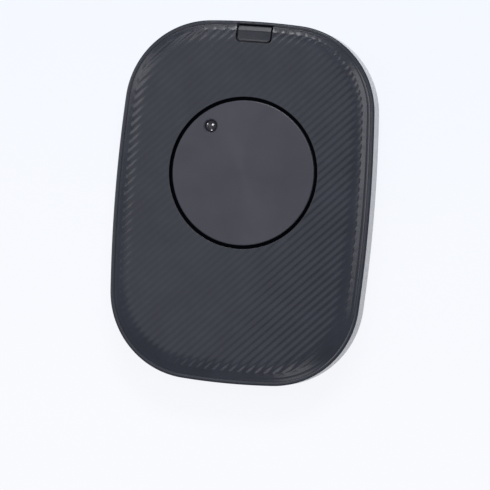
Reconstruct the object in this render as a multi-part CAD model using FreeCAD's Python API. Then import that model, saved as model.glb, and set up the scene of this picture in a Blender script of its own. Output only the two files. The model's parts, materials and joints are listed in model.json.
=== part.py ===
import FreeCAD, Part
import math
import os

from FreeCAD import Vector

# Mouse jiggler: a slim plate with a powered turntable that a computer mouse rests on.
# Millimetres. The plate lies flat: +Z is up, +Y points at the end with the power button
# and the charging socket, and the origin is below the plate's middle, under its feet.

UP = Vector(0, 0, 1)

# ---------------------------------------------------------------- plate outline, seen from above
body_width = 90.0
body_length = 124.6
side_radius = 525.0          # the long sides bow out slightly
end_radius = 237.0           # the short ends bow out a little more
corner_radius = 30.0

# ---------------------------------------------------------------- stack, from the feet up
foot_proud = 0.8             # what the feet stand out below the base
foot_seat_depth = 0.5        # how deep each foot is let into the base
foot_radius = 5.0
floor_thickness = 1.4
motor_recess = 0.6           # the floor is this much thinner under the motor
motor_height = 5.4
wheel_gap = 0.4              # between the motor and the idler's wheel above it
wheel_thickness = 1.4
running_gap = 0.3            # between a turning face and a fixed one
pan_thickness = 0.8          # floor of the turntable's well
glide_ring_thickness = 0.25
glide_clearance = 0.1
disc_thickness = 1.35

base_bottom = foot_proud
floor_top = base_bottom + floor_thickness
motor_bottom = floor_top - motor_recess
motor_top = motor_bottom + motor_height
wheel_bottom = motor_top + wheel_gap
wheel_top = wheel_bottom + wheel_thickness
pan_bottom = wheel_top + running_gap
pan_top = pan_bottom + pan_thickness
parting = pan_top            # base and cover meet level with the well's floor
glide_ring_top = pan_top + glide_ring_thickness
disc_bottom = glide_ring_top + glide_clearance
disc_top = disc_bottom + disc_thickness
plateau = disc_top           # the disc is flush with the cover

# ---------------------------------------------------------------- base shell
base_wall = 1.6
base_edge_round = 1.2
floor_corner_round = 0.6
base_rim_reach = 6.0         # how far in the turned rim of the base runs

# ---------------------------------------------------------------- top cover, insets from its edge
lip_height = 0.8
lip_round = 0.3
lip_width = 1.1
groove_depth = 0.25
groove_side = 0.25
groove_width = 0.4
border_inset = 2.05
border_drop = 0.13           # the border is this much below the lip
foot_of_pillow_inset = 3.35
shoulder_drop = 0.6          # from the plateau down to the foot of the rounded shoulder
shoulder_inset = 8.0         # where the shoulder reaches the plateau
thick_rim = 9.5              # the cover is hollowed out inside this inset
cover_thickness = 1.3
tongue_clearance = 0.15
tongue_thickness = 1.0
tongue_depth = 1.2
well_edge_chamfer = 0.18

# ---------------------------------------------------------------- turntable
disc_offset = 10.2           # the disc's axis, from the middle towards +Y
disc_radius = 24.9
disc_edge_chamfer = 0.15
well_gap = 1.2
pan_wall = 1.2
hub_radius = 6.0
hub_gap = 0.6
glide_ring_inner = 19.0
glide_ring_outer = 22.0
spindle_radius = 1.5
spindle_floor = 0.4          # floor left under the spindle and the idler pin
spindle_top_gap = 0.2
bearing_clearance = 0.03
bush_wall = 1.0
bush_top_gap = 0.9
spindle_boss_radius = 3.2
washer_thickness = 0.15
washer_play = 0.1
hub_roof = 0.35              # how far the hub's bore goes up into the disc
gear_boss_drop = 0.6         # the drive gear's boss reaches this much lower than its rim

marker_inset = 5.1           # the marker's axis, in from the disc's edge
marker_angle = 129.5
marker_radius = 2.05
marker_seat_clearance = 0.05
marker_seat_depth = 0.9
marker_band = 0.4
marker_crown = 0.2           # how far the marker's dome stands above the disc
marker_countersink = 0.4

# ---------------------------------------------------------------- gear train
gear_module = 0.5
pressure_angle = math.radians(20)
addendum = 0.85
dedendum = 1.2
tooth_thinning = 0.035       # taken off each flank, for backlash
drive_teeth = 84
idler_pinion_teeth = 12
idler_wheel_teeth = 50
motor_pinion_teeth = 10
idler_shift = 0.4            # profile shift of the idler's pinion
pinion_shift = 0.45          # profile shift of the motor's pinion
idler_direction = -120.0     # from the disc's axis
motor_direction = -60.0      # from the idler's axis
drive_thickness = 1.6
drive_gap = 0.6              # between the drive gear and the idler's wheel
drive_web = 0.8
drive_rim = 3.0
drive_web_inner = 7.0
idler_overhang = 0.2         # the idler's pinion reaches this much below the drive gear
idler_pin_radius = 0.75
idler_boss_radius = 2.2
idler_washer_radius = 2.0
wheel_web = 0.7
wheel_rim = 2.2
wheel_web_inner = 4.6

drive_top = wheel_bottom - drive_gap
drive_bottom = drive_top - drive_thickness
gear_boss_bottom = drive_bottom - gear_boss_drop
idler_bottom = drive_bottom - idler_overhang

# ---------------------------------------------------------------- motor
motor_radius = 9.0
motor_seat_clearance = 0.2
motor_wall = 0.4
motor_flange = 0.6
motor_ear_reach = 3.5        # ear screws, out from the can
motor_ear_radius = 2.3
motor_ear_direction = 30.0
motor_air_gap = 0.4
bobbin_sleeve = 0.5
bobbin_inner = 5.4
bobbin_end_gap = 0.1
bobbin_flange = 0.4
bobbin_middle = 0.8
coil_inset = 0.2
magnet_end_gap = 0.4
motor_shaft_radius = 0.5
motor_shaft_floor_gap = 0.1
motor_bush_radius = 1.6
motor_bush_length = 0.7
motor_bush_proud = 0.1
pinion_overhang = 0.1
shaft_top_gap = 0.25

# ---------------------------------------------------------------- screws
tap_clearance = 0.05         # a screw in the hole that holds it
pass_clearance = 0.15        # a screw in the hole that it passes through
screw_recess_share = 0.55    # cross recess, as a share of the head
case_screw = {"shank": 1.0, "head": 1.9, "head_height": 1.2}
board_screw = {"shank": 0.9, "head": 1.6, "head_height": 0.9}
motor_screw = {"shank": 0.8, "head": 1.4, "head_height": 0.8}
hub_screw = {"shank": 0.55, "head": 1.0, "head_height": 0.7}
screw_tip_gap = 0.2
case_screw_inset_x = 15.0    # the case screws and the feet, in from the plate's box
case_screw_inset_y = 18.3
case_boss_radius = 3.6
case_boss_roof = 1.2
case_head_gap = 0.1          # between a foot and the screw head over it
case_screw_length = 5.8
cover_boss_radius = 2.6
motor_post_radius = 2.2
motor_screw_length = 3.6
hub_screw_pitch = 4.3
hub_screw_length = 3.7
board_screw_length = 3.0

# ---------------------------------------------------------------- charging socket (USB-C)
usb_mouth_width = 8.34
usb_mouth_height = 2.56
usb_wall = 0.3
usb_depth = 7.35
usb_set_back = 0.4           # mouth behind the outside of the wall
usb_floor_gap = 0.3
usb_hole_clearance = 0.15
usb_insulator_depth = 1.9
usb_tongue_width = 6.69
usb_tongue_thickness = 0.7
usb_tongue_set_back = 0.6
usb_contact_count = 12
usb_contact_pitch = 0.5
usb_contact_width = 0.25
usb_contact_length = 3.2
usb_contact_thickness = 0.05
usb_contact_set_back = 0.4

# ---------------------------------------------------------------- main board
board_thickness = 0.8
board_width = 48.0
board_depth = 17.0
board_inset = 5.0            # the board's rear edge, in from the plate's end
board_nose_width = 16.0
board_nose = 2.2
board_post_radius = 2.2
board_hole_inset_x = 3.0
board_hole_inset_y = 4.5
board_post_spacing = 9.5

# ---------------------------------------------------------------- power button and its switch
button_width = 11.6
button_depth = 5.5
button_inset = 1.4           # its outer edge, in from the plate's end
button_corner_radius = 1.3   # on its two inner corners
button_gap = 0.35
button_travel = 0.3
button_flange_reach = 0.9
button_flange_height = 0.8
button_flange_set_back = 0.9
button_flange_play = 0.1
button_stem_radius = 1.1
button_pocket_play = 0.1
switch_inset = 5.0           # the switch's axis, in from the plate's end
switch_width = 4.0
switch_length = 3.0
switch_height = 0.8
switch_cavity_radius = 1.3
switch_cavity_floor = 0.15
switch_dome_radius = 1.2
switch_dome_thickness = 0.08
switch_frame_thickness = 0.12
plunger_radius = 0.8
plunger_guide_clearance = 0.08
plunger_flange_radius = 1.1
plunger_flange_thickness = 0.2
plunger_play = 0.02
plunger_proud = 0.4

# ---------------------------------------------------------------- parts on the board
chip_size = 5.0
chip_height = 0.9
chip_x = 9.0
driver_width = 5.0
driver_length = 4.0
driver_height = 1.3
driver_x = -9.0
driver_pin_count = 4
driver_pin_pitch = 1.1
driver_pin_width = 0.4
driver_pin_reach = 0.8
driver_pin_height = 0.5
capacitor_width = 1.6
capacitor_length = 0.9
capacitor_height = 0.8
capacitor_count = 5
capacitor_pitch = 2.6
capacitor_row_inset = 2.2    # in from the board's front edge
header_width = 6.4
header_depth = 4.2
header_height = 1.6
header_wall = 0.5
header_side_inset = 9.5      # its middle, in from the board's left end
header_inset = 0.5
plug_clearance = 0.1

# ---------------------------------------------------------------- motor leads
lead_radius = 0.35
lead_pitch = 0.8
lead_count = 4
lead_floor_gap = 0.1
lead_lane_inset = 13.5       # the lane along the left side, in from the plate's side
lead_lane_end = 22.0
lead_rise_start = 8.5        # the leads leave the floor this far in front of the board
lead_rise_end = 3.5
lead_bend_share = 0.45       # of the shorter run beside a bend
lead_guide_height = 1.4
lead_guide_thickness = 0.8
lead_guide_length = 4.0
lead_guide_clearance = 0.2
lead_guide_places = (-8.0, 12.0)

# ================================================================ places worked out from the above
half_width = body_width / 2
half_length = body_length / 2
disc_axis = (0.0, disc_offset)


def mate_distance(teeth_a, teeth_b):
    return gear_module * (teeth_a + teeth_b) / 2


def stepped(start, distance, direction_deg):
    """The point at a distance and a direction from another point."""
    angle = math.radians(direction_deg)
    return (start[0] + distance * math.cos(angle), start[1] + distance * math.sin(angle))


idler_axis = stepped(disc_axis, mate_distance(drive_teeth, idler_pinion_teeth), idler_direction)
motor_axis = stepped(idler_axis, mate_distance(idler_wheel_teeth, motor_pinion_teeth), motor_direction)
marker_axis = stepped(disc_axis, disc_radius - marker_inset, marker_angle)
well_radius = disc_radius + well_gap
bush_radius = spindle_radius + bearing_clearance + bush_wall

usb_height = usb_mouth_height + 2 * usb_wall
usb_width = usb_mouth_width + 2 * usb_wall
usb_bottom = floor_top + usb_floor_gap
usb_middle = usb_bottom + usb_height / 2
usb_front = half_length - usb_set_back
usb_back = usb_front - usb_depth

board_bottom = usb_bottom + usb_height
board_top = board_bottom + board_thickness
board_rear = half_length - board_inset
board_front = board_rear - board_depth

button_rear = half_length - button_inset
button_front = button_rear - button_depth
button_flange_top = parting - button_flange_play
button_flange_bottom = button_flange_top - button_flange_height
switch_axis = (0.0, half_length - switch_inset)
switch_top = board_top + switch_height
plunger_top = switch_top + switch_frame_thickness + plunger_proud

case_screw_places = [
    (side * (half_width - case_screw_inset_x), end * (half_length - case_screw_inset_y))
    for side in (-1, 1)
    for end in (-1, 1)
]
foot_top = base_bottom + foot_seat_depth
case_screw_seat = foot_top + case_screw["head_height"] + case_head_gap
case_boss_top = case_screw_seat + case_boss_roof

motor_ear_places = [
    stepped(motor_axis, motor_radius + motor_ear_reach, motor_ear_direction + turn)
    for turn in (0, 180)
]
board_hole_x = board_width / 2 - board_hole_inset_x
board_screw_y = board_front + board_hole_inset_y
board_screw_places = [(side * board_hole_x, board_screw_y) for side in (-1, 1)]
board_peg_places = [(side * board_hole_x, board_screw_y + board_post_spacing) for side in (-1, 1)]
hub_screw_places = [stepped(disc_axis, hub_screw_pitch, 90 + 120 * turn) for turn in range(3)]


# ================================================================ helpers
def cylinder(place, bottom, top, radius, bore=0.0):
    shape = Part.makeCylinder(radius, top - bottom, Vector(place[0], place[1], bottom))
    if bore > 0:
        shape = shape.cut(Part.makeCylinder(bore, top - bottom, Vector(place[0], place[1], bottom)))
    return shape


def block(x_range, y_range, z_range):
    corner = Vector(x_range[0], y_range[0], z_range[0])
    return Part.makeBox(
        x_range[1] - x_range[0], y_range[1] - y_range[0], z_range[1] - z_range[0], corner
    )


def around(middle, size):
    """The range of a size centred on a middle."""
    return (middle - size / 2, middle + size / 2)


def fused(shapes):
    return shapes[0].fuse(shapes[1:]).removeSplitter()


def save(name, *solids):
    shape = solids[0] if len(solids) == 1 else Part.makeCompound(list(solids))
    shape.exportStep(os.path.join("parts", name + ".step"))


def screw(place, seat, length, kind, up=1):
    """A pan-head screw. Its head lies beyond the seat, and its shank points up (1) or down (-1)."""
    x, y = place
    tip = seat + up * length
    head_end = seat - up * kind["head_height"]
    shape = cylinder(place, min(seat, tip), max(seat, tip), kind["shank"])
    shape = shape.fuse(cylinder(place, min(seat, head_end), max(seat, head_end), kind["head"]))
    recess = kind["head_height"] * screw_recess_share
    arm = 2 * kind["head"] * screw_recess_share
    slot = arm / 5
    z_range = sorted((head_end, head_end + up * recess))
    cross = block(around(x, arm), around(y, slot), z_range)
    cross = cross.fuse(block(around(x, slot), around(y, arm), z_range))
    return shape.cut(cross).removeSplitter()


# ---------------------------------------------------------------- the plate's outline
def corner_centre():
    """Centre of the corner arc in the first quadrant, tangent inside to the side and end arcs."""
    side = Vector(half_width - side_radius, 0, 0)
    end = Vector(0, half_length - end_radius, 0)
    reach_side = side_radius - corner_radius
    reach_end = end_radius - corner_radius
    across = end - side
    gap = across.Length
    along = (reach_side ** 2 - reach_end ** 2 + gap ** 2) / (2 * gap)
    height = math.sqrt(reach_side ** 2 - along ** 2)
    forward = across.normalize()
    sideways = Vector(-forward.y, forward.x, 0)
    return side + forward * along + sideways * height


def outline_arcs():
    """The outline's eight arcs, each as its centre, radius, start angle and sweep, in degrees."""
    corner = corner_centre()
    side_half = math.degrees(math.atan2(corner.y, corner.x - (half_width - side_radius)))
    end_half = math.degrees(math.atan2(corner.x, corner.y - (half_length - end_radius)))
    turn = 90 - side_half - end_half
    side_offset = half_width - side_radius
    end_offset = half_length - end_radius
    return [
        (Vector(side_offset, 0, 0), side_radius, -side_half, 2 * side_half),
        (Vector(corner.x, corner.y, 0), corner_radius, side_half, turn),
        (Vector(0, end_offset, 0), end_radius, 90 - end_half, 2 * end_half),
        (Vector(-corner.x, corner.y, 0), corner_radius, 90 + end_half, turn),
        (Vector(-side_offset, 0, 0), side_radius, 180 - side_half, 2 * side_half),
        (Vector(-corner.x, -corner.y, 0), corner_radius, 180 + side_half, turn),
        (Vector(0, -end_offset, 0), end_radius, 270 - end_half, 2 * end_half),
        (Vector(corner.x, -corner.y, 0), corner_radius, 270 + end_half, turn),
    ]


def on_circle(centre, radius, angle_deg, z):
    angle = math.radians(angle_deg)
    return Vector(centre.x + radius * math.cos(angle), centre.y + radius * math.sin(angle), z)


def outline_prism(inset, bottom, top):
    """The outline moved in by an inset, as an upright solid."""
    edges = []
    for centre, radius, start, sweep in outline_arcs():
        stops = [on_circle(centre, radius - inset, start + sweep * share, bottom) for share in (0, 0.5, 1)]
        edges.append(Part.Arc(*stops).toShape())
    return Part.Face(Part.Wire(edges)).extrude(Vector(0, 0, top - bottom))


def turned_rim(profile, core_inset, core_bottom, core_top):
    """A profile of (inset, z) points carried round the outline, with the inside filled.

    A step of three points in the profile is an arc from the point before it.
    """
    sectors = [outline_prism(core_inset, core_bottom, core_top)]
    for centre, radius, start, sweep in outline_arcs():

        def placed(point):
            return on_circle(centre, radius - point[0], start, point[1])

        edges = []
        here = profile[0]
        for step in profile[1:] + profile[:1]:
            if len(step) == 4:
                middle, stop = step[:2], step[2:]
                edges.append(Part.Arc(placed(here), placed(middle), placed(stop)).toShape())
                here = stop
            else:
                edges.append(Part.LineSegment(placed(here), placed(step)).toShape())
                here = step
        face = Part.Face(Part.Wire(edges))
        sectors.append(face.revolve(centre, UP, sweep))
    return fused(sectors)


def round_step(start, stop, centre):
    """An arc step of a profile: its middle point and its end, round a centre."""
    radius = math.dist(start, centre)
    middle = ((start[0] + stop[0]) / 2 - centre[0], (start[1] + stop[1]) / 2 - centre[1])
    stretch = radius / math.hypot(*middle)
    return (centre[0] + middle[0] * stretch, centre[1] + middle[1] * stretch, stop[0], stop[1])


def top_volume():
    """What lies under the cover's outer face and above the parting plane, with no holes."""
    lip_top = parting + lip_height
    groove_floor = lip_top - groove_depth
    border = lip_top - border_drop
    shoulder_foot = (foot_of_pillow_inset, plateau - shoulder_drop)
    shoulder_top = (shoulder_inset, plateau)
    run = shoulder_inset - foot_of_pillow_inset
    shoulder_radius = (run ** 2 + shoulder_drop ** 2) / (2 * shoulder_drop)
    lip_start = (0.0, lip_top - lip_round)
    lip_stop = (lip_round, lip_top)
    profile = [
        (0.0, parting),
        lip_start,
        round_step(lip_start, lip_stop, (lip_round, lip_top - lip_round)),
        (lip_width, lip_top),
        (lip_width + groove_side, groove_floor),
        (lip_width + groove_side + groove_width, groove_floor),
        (border_inset, border),
        shoulder_foot,
        round_step(shoulder_foot, shoulder_top, (shoulder_inset, plateau - shoulder_radius)),
        (thick_rim, plateau),
        (thick_rim, parting),
    ]
    return turned_rim(profile, thick_rim, parting, plateau)


# ---------------------------------------------------------------- gears
def involute(angle):
    return math.tan(angle) - angle


def gear(place, teeth, shift, bottom, top, tooth_at_deg, bore):
    """A spur gear with one tooth's middle at tooth_at_deg."""
    pitch = gear_module * teeth / 2
    base = pitch * math.cos(pressure_angle)
    tip = pitch + gear_module * (addendum + shift)
    root = pitch - gear_module * (dedendum - shift)
    half_tooth = (math.pi / 2 + 2 * shift * math.tan(pressure_angle)) / teeth - tooth_thinning / pitch
    start = max(base, root)
    centre = Vector(place[0], place[1], 0)

    def flank(radius, side, middle):
        lean = half_tooth + involute(pressure_angle) - involute(math.acos(min(1.0, base / radius)))
        return on_circle(centre, radius, math.degrees(middle + side * lean), bottom)

    edges = []
    tooth_angle = 2 * math.pi / teeth
    first = math.radians(tooth_at_deg)
    for tooth in range(teeth):
        middle = first + tooth * tooth_angle
        radii = (start, (start + tip) / 2, tip)
        rising = [flank(radius, -1, middle) for radius in radii]
        falling = [flank(radius, 1, middle) for radius in reversed(radii)]
        crown = on_circle(centre, tip, math.degrees(middle), bottom)
        edges.append(Part.Arc(*rising).toShape())
        edges.append(Part.Arc(rising[-1], crown, falling[0]).toShape())
        edges.append(Part.Arc(*falling).toShape())
        next_rise = flank(start, -1, middle + tooth_angle)
        valley = math.degrees(middle + tooth_angle / 2)
        if root < base:
            half_gap = tooth_angle / 2 - half_tooth - involute(pressure_angle)
            feet = [
                on_circle(centre, root, valley + side * math.degrees(half_gap), bottom)
                for side in (-1, 1)
            ]
            edges.append(Part.LineSegment(falling[-1], feet[0]).toShape())
            edges.append(Part.Arc(feet[0], on_circle(centre, root, valley, bottom), feet[1]).toShape())
            edges.append(Part.LineSegment(feet[1], next_rise).toShape())
        else:
            root_middle = on_circle(centre, root, valley, bottom)
            edges.append(Part.Arc(falling[-1], root_middle, next_rise).toShape())
    disc = Part.Face(Part.Wire(edges)).extrude(Vector(0, 0, top - bottom))
    return disc.cut(cylinder(place, bottom, top, bore))


def webbed(shape, place, bottom, top, web, inner, outer):
    """Thin a gear's web from both faces, between an inner and an outer radius."""
    spare = (top - bottom - web) / 2
    shape = shape.cut(cylinder(place, bottom, bottom + spare, outer, inner))
    return shape.cut(cylinder(place, top - spare, top, outer, inner))


# ================================================================ casing
def usb_section(width, height, back, front):
    """A slot-shaped bar along Y, with round ends, centred on the socket."""
    radius = height / 2
    flat = width / 2 - radius
    low = usb_middle - radius
    bar = block((-flat, flat), (back, front), (low, low + height))
    ends = [
        Part.makeCylinder(radius, front - back, Vector(side * flat, back, usb_middle), Vector(0, 1, 0))
        for side in (-1, 1)
    ]
    return fused([bar] + ends)


def lead_lane_x(offset):
    return -(half_width - lead_lane_inset) + offset


def base_shell():
    edge_start = (0.0, base_bottom + base_edge_round)
    edge_stop = (base_edge_round, base_bottom)
    inner_start = (base_wall + floor_corner_round, floor_top)
    inner_stop = (base_wall, floor_top + floor_corner_round)
    inner_centre = (base_wall + floor_corner_round, floor_top + floor_corner_round)
    profile = [
        (0.0, parting),
        edge_start,
        round_step(edge_start, edge_stop, (base_edge_round, base_bottom + base_edge_round)),
        (base_rim_reach, base_bottom),
        (base_rim_reach, floor_top),
        inner_start,
        round_step(inner_start, inner_stop, inner_centre),
        (base_wall, parting),
    ]
    shell = turned_rim(profile, base_rim_reach, base_bottom, floor_top)

    washer_seat = washer_thickness + washer_play
    solid = [
        cylinder(disc_axis, floor_top, gear_boss_bottom - washer_seat, spindle_boss_radius),
        cylinder(idler_axis, floor_top, idler_bottom - washer_seat, idler_boss_radius),
    ]
    for place in motor_ear_places:
        solid.append(cylinder(place, floor_top, motor_top - motor_flange, motor_post_radius))
    for place in board_screw_places + board_peg_places:
        solid.append(cylinder(place, floor_top, board_bottom, board_post_radius))
    for place in case_screw_places:
        solid.append(cylinder(place, floor_top, case_boss_top, case_boss_radius))
    lane_half = lead_pitch * (lead_count - 1) / 2 + lead_radius + lead_guide_clearance
    for y in lead_guide_places:
        for side in (-1, 1):
            x = lead_lane_x(side * (lane_half + lead_guide_thickness / 2))
            solid.append(
                block(
                    around(x, lead_guide_thickness),
                    around(y, lead_guide_length),
                    (floor_top, floor_top + lead_guide_height),
                )
            )
    shell = fused([shell] + solid)

    holes = [
        cylinder(disc_axis, base_bottom + spindle_floor, parting, spindle_radius),
        cylinder(idler_axis, base_bottom + spindle_floor, parting, idler_pin_radius),
        cylinder(motor_axis, motor_bottom, floor_top, motor_radius + motor_seat_clearance),
    ]
    for place in motor_ear_places:
        seat = motor_top
        tip = seat - motor_screw_length - screw_tip_gap
        holes.append(cylinder(place, tip, seat, motor_screw["shank"] + tap_clearance))
    for place in board_screw_places:
        tip = board_top - board_screw_length - screw_tip_gap
        holes.append(cylinder(place, tip, board_top, board_screw["shank"] + tap_clearance))
    for place in case_screw_places:
        holes.append(cylinder(place, base_bottom, foot_top, foot_radius))
        holes.append(cylinder(place, foot_top, case_screw_seat, case_screw["head"] + pass_clearance))
        holes.append(cylinder(place, case_screw_seat, case_boss_top, case_screw["shank"] + pass_clearance))
    grow = 2 * usb_hole_clearance
    holes.append(usb_section(usb_width + grow, usb_height + grow, usb_back, half_length + base_wall))
    pocket_y = (half_length - base_wall - base_rim_reach, button_rear + button_gap)
    pocket_bottom = button_flange_bottom - button_travel - button_pocket_play
    holes.append(block(around(0, button_width + 2 * button_gap), pocket_y, (pocket_bottom, parting)))
    return shell.cut(holes)


def button_outline(grow, bottom, top):
    """The power button seen from above: sharp outer corners, round inner ones."""
    width = button_width + 2 * grow
    bar = block(around(0, width), (button_front - grow, button_rear + grow), (bottom, top))
    inner = [
        edge
        for edge in bar.Edges
        if edge.BoundBox.ZLength > (top - bottom) / 2 and edge.CenterOfMass.y < switch_axis[1]
    ]
    return bar.makeFillet(button_corner_radius + grow, inner)


def top_cover(volume):
    pan_radius = well_radius + pan_wall
    hollow_top = plateau - cover_thickness
    cover = volume.cut(outline_prism(thick_rim, parting, hollow_top))
    tongue_inset = base_wall + tongue_clearance
    tongue = outline_prism(tongue_inset, parting - tongue_depth, parting)
    inside = outline_prism(tongue_inset + tongue_thickness, parting - tongue_depth, parting)
    solid = [tongue.cut(inside), cylinder(disc_axis, pan_bottom, plateau, pan_radius)]
    for place in case_screw_places:
        solid.append(cylinder(place, case_boss_top, hollow_top, cover_boss_radius))
    cover = fused([cover] + solid)

    screw_tip = case_screw_seat + case_screw_length + screw_tip_gap
    holes = [
        cylinder(disc_axis, pan_top, plateau, well_radius),
        cylinder(disc_axis, pan_bottom, pan_top, hub_radius + hub_gap),
        Part.makeCone(
            well_radius,
            well_radius + well_edge_chamfer,
            well_edge_chamfer,
            Vector(disc_axis[0], disc_axis[1], plateau - well_edge_chamfer),
        ),
        button_outline(button_gap, parting, plateau),
    ]
    flange_room = button_width / 2 + button_flange_reach + button_gap
    holes.append(
        block(
            (-flange_room, flange_room),
            (button_front - button_flange_reach - button_gap, half_length - base_wall),
            (parting - tongue_depth, parting),
        )
    )
    for place in case_screw_places:
        holes.append(cylinder(place, case_boss_top, screw_tip, case_screw["shank"] + tap_clearance))
    return cover.cut(holes)


def power_button(volume):
    """Cap level with the cover, a flange that keeps it in, and a stem down to the switch."""
    cap = volume.common(button_outline(0.0, parting, plateau))
    body = button_outline(0.0, button_flange_bottom, parting)
    flange = block(
        around(0, button_width + 2 * button_flange_reach),
        (button_front - button_flange_reach, button_rear - button_flange_set_back),
        (button_flange_bottom, button_flange_top),
    )
    stem = cylinder(switch_axis, plunger_top, button_flange_bottom, button_stem_radius)
    return fused([cap, body, flange, stem])


def rubber_feet():
    return [cylinder(place, 0.0, foot_top, foot_radius) for place in case_screw_places]


# ================================================================ turntable and gear train
def turntable_disc():
    disc = cylinder(disc_axis, disc_bottom, disc_top, disc_radius)
    rim = [edge for edge in disc.Edges if abs(edge.CenterOfMass.z - disc_top) < disc_edge_chamfer]
    disc = disc.makeChamfer(disc_edge_chamfer, [edge for edge in rim if len(edge.Vertexes) == 1])
    disc = fused([disc, cylinder(disc_axis, drive_top, disc_bottom, hub_radius)])
    seat = marker_radius + marker_seat_clearance
    holes = [
        cylinder(disc_axis, drive_top, disc_bottom - hub_roof, bush_radius),
        cylinder(marker_axis, disc_top - marker_seat_depth, disc_top, seat),
        Part.makeCone(
            seat,
            seat + marker_countersink,
            marker_countersink,
            Vector(marker_axis[0], marker_axis[1], disc_top - marker_countersink),
        ),
    ]
    for place in hub_screw_places:
        tip = gear_boss_bottom + hub_screw["head_height"] + hub_screw_length + screw_tip_gap
        holes.append(cylinder(place, drive_top, tip, hub_screw["shank"] + tap_clearance))
    return disc.cut(holes)


def marker_lens():
    """A domed button set in the disc, which the mouse's sensor sees go by."""
    bottom = disc_top - marker_seat_depth
    band_top = bottom + marker_band
    rise = disc_top + marker_crown - band_top
    dome_radius = (marker_radius ** 2 + rise ** 2) / (2 * rise)
    middle = Vector(marker_axis[0], marker_axis[1], band_top + rise - dome_radius)
    dome = Part.makeSphere(dome_radius, middle)
    dome = dome.common(cylinder(marker_axis, band_top, band_top + 2 * rise, marker_radius))
    return fused([cylinder(marker_axis, bottom, band_top, marker_radius), dome])


def drive_gear():
    toothed = gear(
        disc_axis, drive_teeth, -idler_shift, drive_bottom, drive_top, idler_direction, bush_radius
    )
    outer = gear_module * drive_teeth / 2 - drive_rim
    toothed = webbed(toothed, disc_axis, drive_bottom, drive_top, drive_web, drive_web_inner, outer)
    boss = cylinder(disc_axis, gear_boss_bottom, drive_bottom, hub_radius, bush_radius)
    shape = fused([toothed, boss])
    seat = gear_boss_bottom + hub_screw["head_height"]
    holes = []
    for place in hub_screw_places:
        holes.append(cylinder(place, gear_boss_bottom, seat, hub_screw["head"] + pass_clearance))
        holes.append(cylinder(place, seat, drive_top, hub_screw["shank"] + pass_clearance))
    return shape.cut(holes)


def hub_screws():
    seat = gear_boss_bottom + hub_screw["head_height"]
    return [screw(place, seat, hub_screw_length, hub_screw) for place in hub_screw_places]


def hub_bush():
    top = disc_bottom - bush_top_gap
    return cylinder(disc_axis, gear_boss_bottom, top, bush_radius, spindle_radius + bearing_clearance)


def spindle():
    top = disc_bottom - hub_roof - spindle_top_gap
    return cylinder(disc_axis, base_bottom + spindle_floor, top, spindle_radius)


def thrust_washers():
    spindle_seat = gear_boss_bottom - washer_play - washer_thickness
    idler_seat = idler_bottom - washer_play - washer_thickness
    on_spindle = cylinder(
        disc_axis,
        spindle_seat,
        spindle_seat + washer_thickness,
        spindle_boss_radius,
        spindle_radius + bearing_clearance,
    )
    on_idler = cylinder(
        idler_axis,
        idler_seat,
        idler_seat + washer_thickness,
        idler_washer_radius,
        idler_pin_radius + bearing_clearance,
    )
    return [on_spindle, on_idler]


def idler_gear():
    """Compound idler: a small pinion under a large wheel, moulded as one."""
    bore = idler_pin_radius + bearing_clearance
    pinion = gear(
        idler_axis,
        idler_pinion_teeth,
        idler_shift,
        idler_bottom,
        wheel_bottom,
        idler_direction + 180 + 180 / idler_pinion_teeth,
        bore,
    )
    wheel = gear(
        idler_axis, idler_wheel_teeth, -pinion_shift, wheel_bottom, wheel_top, motor_direction, bore
    )
    outer = gear_module * idler_wheel_teeth / 2 - wheel_rim
    wheel = webbed(wheel, idler_axis, wheel_bottom, wheel_top, wheel_web, wheel_web_inner, outer)
    return fused([pinion, wheel])


def idler_pin():
    top = pan_bottom - bearing_clearance - washer_play
    return cylinder(idler_axis, base_bottom + spindle_floor, top, idler_pin_radius)


# ================================================================ motor
def motor_can():
    """Drawn can, open below, with two ears level with its top."""
    can = cylinder(motor_axis, motor_bottom, motor_top, motor_radius)
    ears = []
    for place in motor_ear_places:
        ears.append(cylinder(place, motor_top - motor_flange, motor_top, motor_ear_radius))
    arm = block(
        (-motor_radius - motor_ear_reach, motor_radius + motor_ear_reach),
        (-motor_ear_radius, motor_ear_radius),
        (motor_top - motor_flange, motor_top),
    )
    arm.rotate(Vector(0, 0, 0), UP, motor_ear_direction)
    arm.translate(Vector(motor_axis[0], motor_axis[1], 0))
    shape = fused([can, arm] + ears)
    holes = [
        cylinder(motor_axis, motor_bottom, motor_top - motor_wall, motor_radius - motor_wall),
        cylinder(motor_axis, motor_bottom, motor_top, motor_bush_radius),
    ]
    for place in motor_ear_places:
        hole = motor_screw["shank"] + pass_clearance
        holes.append(cylinder(place, motor_top - motor_flange, motor_top, hole))
    return shape.cut(holes)


def motor_end_plate():
    top = motor_bottom + motor_wall
    return cylinder(motor_axis, motor_bottom, top, motor_radius - motor_wall, motor_bush_radius)


bobbin_bottom = motor_bottom + motor_wall + bobbin_end_gap
bobbin_top = motor_top - motor_wall - bobbin_end_gap
coil_height = (bobbin_top - bobbin_bottom - 2 * bobbin_flange - bobbin_middle) / 2
coil_levels = [
    bobbin_bottom + bobbin_flange,
    bobbin_bottom + bobbin_flange + coil_height + bobbin_middle,
]


def motor_bobbin():
    outer = motor_radius - motor_wall
    shape = cylinder(motor_axis, bobbin_bottom, bobbin_top, outer, bobbin_inner)
    for level in coil_levels:
        channel = cylinder(motor_axis, level, level + coil_height, outer, bobbin_inner + bobbin_sleeve)
        shape = shape.cut(channel)
    return shape


def motor_coils():
    outer = motor_radius - motor_wall - coil_inset
    return [
        cylinder(motor_axis, level, level + coil_height, outer, bobbin_inner + bobbin_sleeve)
        for level in coil_levels
    ]


def motor_magnet():
    bottom = bobbin_bottom + magnet_end_gap
    top = bobbin_top - magnet_end_gap
    return cylinder(motor_axis, bottom, top, bobbin_inner - motor_air_gap, motor_shaft_radius)


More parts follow.
